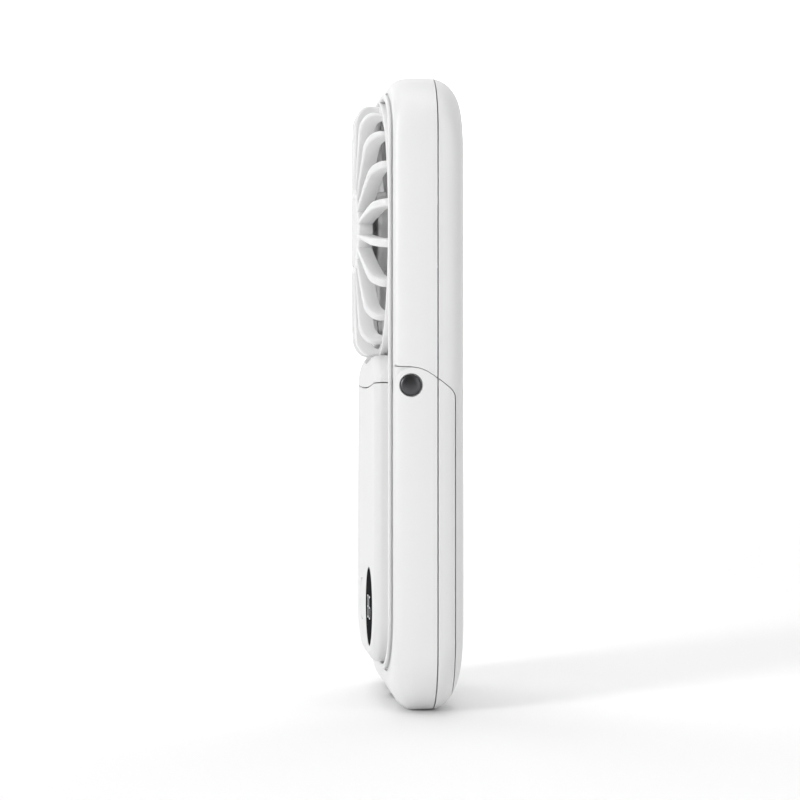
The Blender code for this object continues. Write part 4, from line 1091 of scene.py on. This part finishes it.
def make_skin():
    upper = skin_solid("raised_skin_top")
    above = skin_seam(SKIN_SEAM_SIDE) + [(PAST_SKIN, 120), (-PAST_SKIN, 120)]
    carve(upper, "INTERSECT", piece_of("above_seam", plate(above, -20, 20)))
    dip = plate(circle(0, FAN_Z, 33.9, 160), -20, 20)
    carve(upper, "DIFFERENCE", piece_of("grille_dip", dip))
    ease_edges(upper, 0.16)
    dress(upper, "skin", "body", "upper_panel")
    lower = skin_solid("raised_skin")
    below = skin_seam(-SKIN_SEAM_SIDE) + [(PAST_SKIN, -20), (-PAST_SKIN, -20)]
    carve(lower, "INTERSECT", piece_of("below_seam", plate(below, -20, 20)))
    window = stacked([(8.9, 9), (8.9, -2.75), (10, -2.75), (10, -12)], 96, WINDOW_X, WINDOW_Z)
    button = stacked([(5.6, 9), (5.6, -12)], 72, -WINDOW_X, WINDOW_Z)
    carve(lower, "DIFFERENCE", piece_of("skin_holes", window, button))
    ease_edges(lower, 0.14)
    dress(lower, "skin", "body", "front_panel")


# Display and button

def make_window():
    profile = [
        (9.85, -3.1), (9.85, -3.75), (9.8, -3.87), (9.68, -3.94), (9.5, -3.96), (8, -3.97),
        (6, -3.98), (4, -3.98), (2, -3.98), (0.3, -3.98),
    ]
    glass = piece_of("display_glass", stacked(profile, 96, WINDOW_X, WINDOW_Z))
    ease_edges(glass, 0)
    mark_creases(glass, 60)
    dress(glass, "window", "body", "display_window")


SEGMENTS = {
    "top": ((-1, 2), (1, 2)),
    "high left": ((-1, 2), (-1, 0)),
    "high right": ((1, 2), (1, 0)),
    "middle": ((-1, 0), (1, 0)),
    "low left": ((-1, 0), (-1, -2)),
    "low right": ((1, 0), (1, -2)),
    "foot": ((-1, -2), (1, -2)),
}
DIGITS = {
    "8": tuple(SEGMENTS),
    "5": ("top", "high left", "middle", "low right", "foot"),
}
SHOWN = (("8", 8.7), ("5", 13.3))  # each digit and its middle's X
DIGIT_Z = 24.1
DIGIT_HALF_WIDTH = 1.5
DIGIT_HALF_HEIGHT = 2.7


def digit_bars(digit, centre_x):
    """The bars of a digit as flat six-sided bodies with pointed ends."""
    bars = []
    thick = DIGIT_HALF_WIDTH * 0.3
    wide, tall = DIGIT_HALF_WIDTH, DIGIT_HALF_HEIGHT
    for name in DIGITS[digit]:
        (x1, z1), (x2, z2) = SEGMENTS[name]
        start = Vector((centre_x + x1 * wide, DIGIT_Z + z1 * tall / 2))
        end = Vector((centre_x + x2 * wide, DIGIT_Z + z2 * tall / 2))
        along = (end - start).normalized()
        start, end = start + along * thick * 0.35, end - along * thick * 0.35
        across = Vector((-along.y, along.x)) * thick / 2
        nose = along * thick / 2
        near, far = start + nose, end - nose
        corners = [start, near - across, far - across, end, far + across, near + across]
        bars.append([[at(p.x, depth, p.y) for p in corners] for depth in (-3.9, -4.005)])
    return bars


def make_digits():
    lit = piece_of("display_digits", *[bar for shown in SHOWN for bar in digit_bars(*shown)])
    lit.data.materials.append(lit_digits())
    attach(lit, "body")


def make_button():
    profile = [
        (2, -1.52), (2, -1.6), (6.3, -1.6), (6.3, -2.2), (5.3, -2.2), (5.3, -3.7), (5.26, -3.83),
        (5.16, -3.92), (5, SKIN_FACE), (4.2, -3.93), (3, -3.88), (1.5, -3.83), (0.3, -3.82),
    ]
    button = piece_of("round_button", stacked(profile, 72, -WINDOW_X, WINDOW_Z))
    ease_edges(button, 0)
    mark_creases(button, 60)
    dress(button, "skin", "button", "power_button")


# Fan wheel

BLADE_COUNT = 7
BLADE_ROOT, BLADE_TIP = 9.95, 29.55
BLADE_FRONT, BLADE_BACK = 0.4, 9.96
BLADE_HALF = 4.78  # half of the depth that a blade fills
BLADE_BOW = 1.2
BLADE_THICK = 0.6
PITCHES = (50, 44, 38, 33, 29)  # degrees, from root to tip, as are the two rows below
SWEEPS = (0, 3, 8, 15, 24)
LENGTHS = (0.92, 1, 1, 0.94, 0.78)  # shares of the full length along the chord


def blade_shape(share):
    """Pitch, sweep and length of a blade at a share of the way out."""
    spot = min(3, int(share * 4))
    part = share * 4 - spot
    return [row[spot] + (row[spot + 1] - row[spot]) * part for row in (PITCHES, SWEEPS, LENGTHS)]


def blade(index):
    """A blade that twists and sweeps from the cup out to its tip."""
    rows = []
    middle = (BLADE_FRONT + BLADE_BACK) / 2
    for share in steps(0, 1, 12):
        pitch, sweep, length = blade_shape(share)
        pitch = math.radians(pitch)
        radius = BLADE_ROOT + (BLADE_TIP - BLADE_ROOT) * share
        room = TURN * radius / (2 * BLADE_COUNT) / math.cos(pitch) * length
        half = min(BLADE_HALF * length / math.sin(pitch), room)
        row = []
        for turn in (TURN * step / 20 for step in range(20)):
            along, side = math.cos(turn), math.sin(turn)
            bow = BLADE_BOW * (1 - along**2)
            lift = BLADE_THICK * side * (0.55 + 0.45 * abs(side)) + bow
            around = along * half * math.cos(pitch) - lift * math.sin(pitch)
            depth = middle + along * half * math.sin(pitch) + lift * math.cos(pitch)
            angle = TURN * index / BLADE_COUNT + math.radians(sweep) + around / radius
            row.append(at(radius * math.cos(angle), depth, FAN_Z + radius * math.sin(angle)))
        rows.append(row)
    return rows


def make_wheel():
    cup = [
        (1.12, -0.22), (1.12, 0.4), (2.3, 0.4), (2.3, -0.3), (9.3, -0.3), (9.3, 10.36),
        (10.6, 10.36), (10.6, -0.2), (10.5, -0.75), (10.2, -1.2), (9.75, -1.5), (9.2, -1.6),
        (5, -1.6), (0.4, -1.6), (0.4, -0.22),
    ]
    blades = [blade(index) for index in range(BLADE_COUNT)]
    wheel = piece_of("fan_wheel", *blades, turned(cup, 72))
    ease_edges(wheel, 0)
    mark_creases(wheel, 50)
    dress(wheel, "inner", "fan", "impeller")


def build_pieces():
    """Makes the scene's own pieces, from the case in to the fan wheel."""
    dress_frame()
    make_upper_front()
    make_back_cover()
    make_swing_frame()
    make_rim()
    make_deck()
    make_duct()
    make_pins()
    make_grille()
    make_skin()
    make_window()
    make_digits()
    make_button()
    make_wheel()


build_pieces()


# Studio

def stage_material(name, level, glow=0):
    """A dull pale surface, which may shine by itself."""
    finish = Finish(name, Roughness=0.9, Emission_Strength=glow)
    cloud = finish.grain(0.004)
    colour = finish.tint(cloud, [level - 0.01] * 3, [level] * 3)
    return finish.feed(Base_Color=colour, Emission_Color=colour)


def sheet(name, corners, material):
    """A flat board of the studio."""
    mesh = bpy.data.meshes.new(name)
    mesh.from_pydata(corners, [], [(0, 1, 2, 3)])
    mesh.materials.append(material)
    board = bpy.data.objects.new(name, mesh)
    bpy.context.scene.collection.objects.link(board)


def soft_box(name, place, aim, width, height, power):
    """A rectangular soft lamp."""
    lamp = bpy.data.lights.new(name, "AREA")
    lamp.shape = "RECTANGLE"
    lamp.size, lamp.size_y = width, height
    lamp.energy = power
    holder = bpy.data.objects.new(name, lamp)
    holder.location = place
    holder.rotation_euler = (Vector(aim) - Vector(place)).to_track_quat("-Z", "Y").to_euler()
    bpy.context.scene.collection.objects.link(holder)


def make_studio():
    """A pale floor, a bright wall behind it and soft lamps above, in front and at the back."""
    reach, back, foot, top = 6, -3, -0.1, 5
    floor = [(-reach, -reach, 0), (reach, -reach, 0), (reach, reach, 0), (-reach, reach, 0)]
    sheet("studio_floor", floor, stage_material("pale_floor", 0.87))
    wall = [(back, -reach, foot), (back, reach, foot), (back, reach, top), (back, -reach, top)]
    sheet("studio_wall", wall, stage_material("pale_wall", 0.95, 1.0))
    world = bpy.data.worlds.new("studio_air")
    world.use_nodes = True
    air = world.node_tree.nodes["Background"]
    air.inputs["Color"].default_value = (1, 1, 1, 1)
    air.inputs["Strength"].default_value = 0.12
    bpy.context.scene.world = world
    soft_box("overhead_box", (0.5, -0.3, 3.9), (0, 0, 0), 3.4, 3.4, 80)
    soft_box("far_floor_box", (-2.3, 0, 2.2), (-2.3, 0, 0), 0.8, 5, 26)
    soft_box("front_box", (0.9, -1.2, 0.6), (0, 0, 0.08), 0.35, 0.9, 12)
    soft_box("rear_box", (1.06, 1.06, 0.5), (0, 0, 0.08), 1, 1, 5.4)
    bpy.context.scene.view_settings.view_transform = "Standard"


def make_camera():
    """A long lens that looks at the side of the fan, a little from the front."""
    lens = bpy.data.cameras.new("photo_camera")
    lens.lens = 95.7
    lens.sensor_width = 36
    lens.shift_x = -0.00875
    lens.clip_start = 0.01
    holder = bpy.data.objects.new("photo_camera", lens)
    holder.location = (0.5477, -0.053, 0.0765)
    aim = Vector((0, 0.0017, 0.0765))
    holder.rotation_euler = (aim - holder.location).to_track_quat("-Z", "Y").to_euler()
    bpy.context.scene.collection.objects.link(holder)
    bpy.context.scene.camera = holder


make_studio()
make_camera()
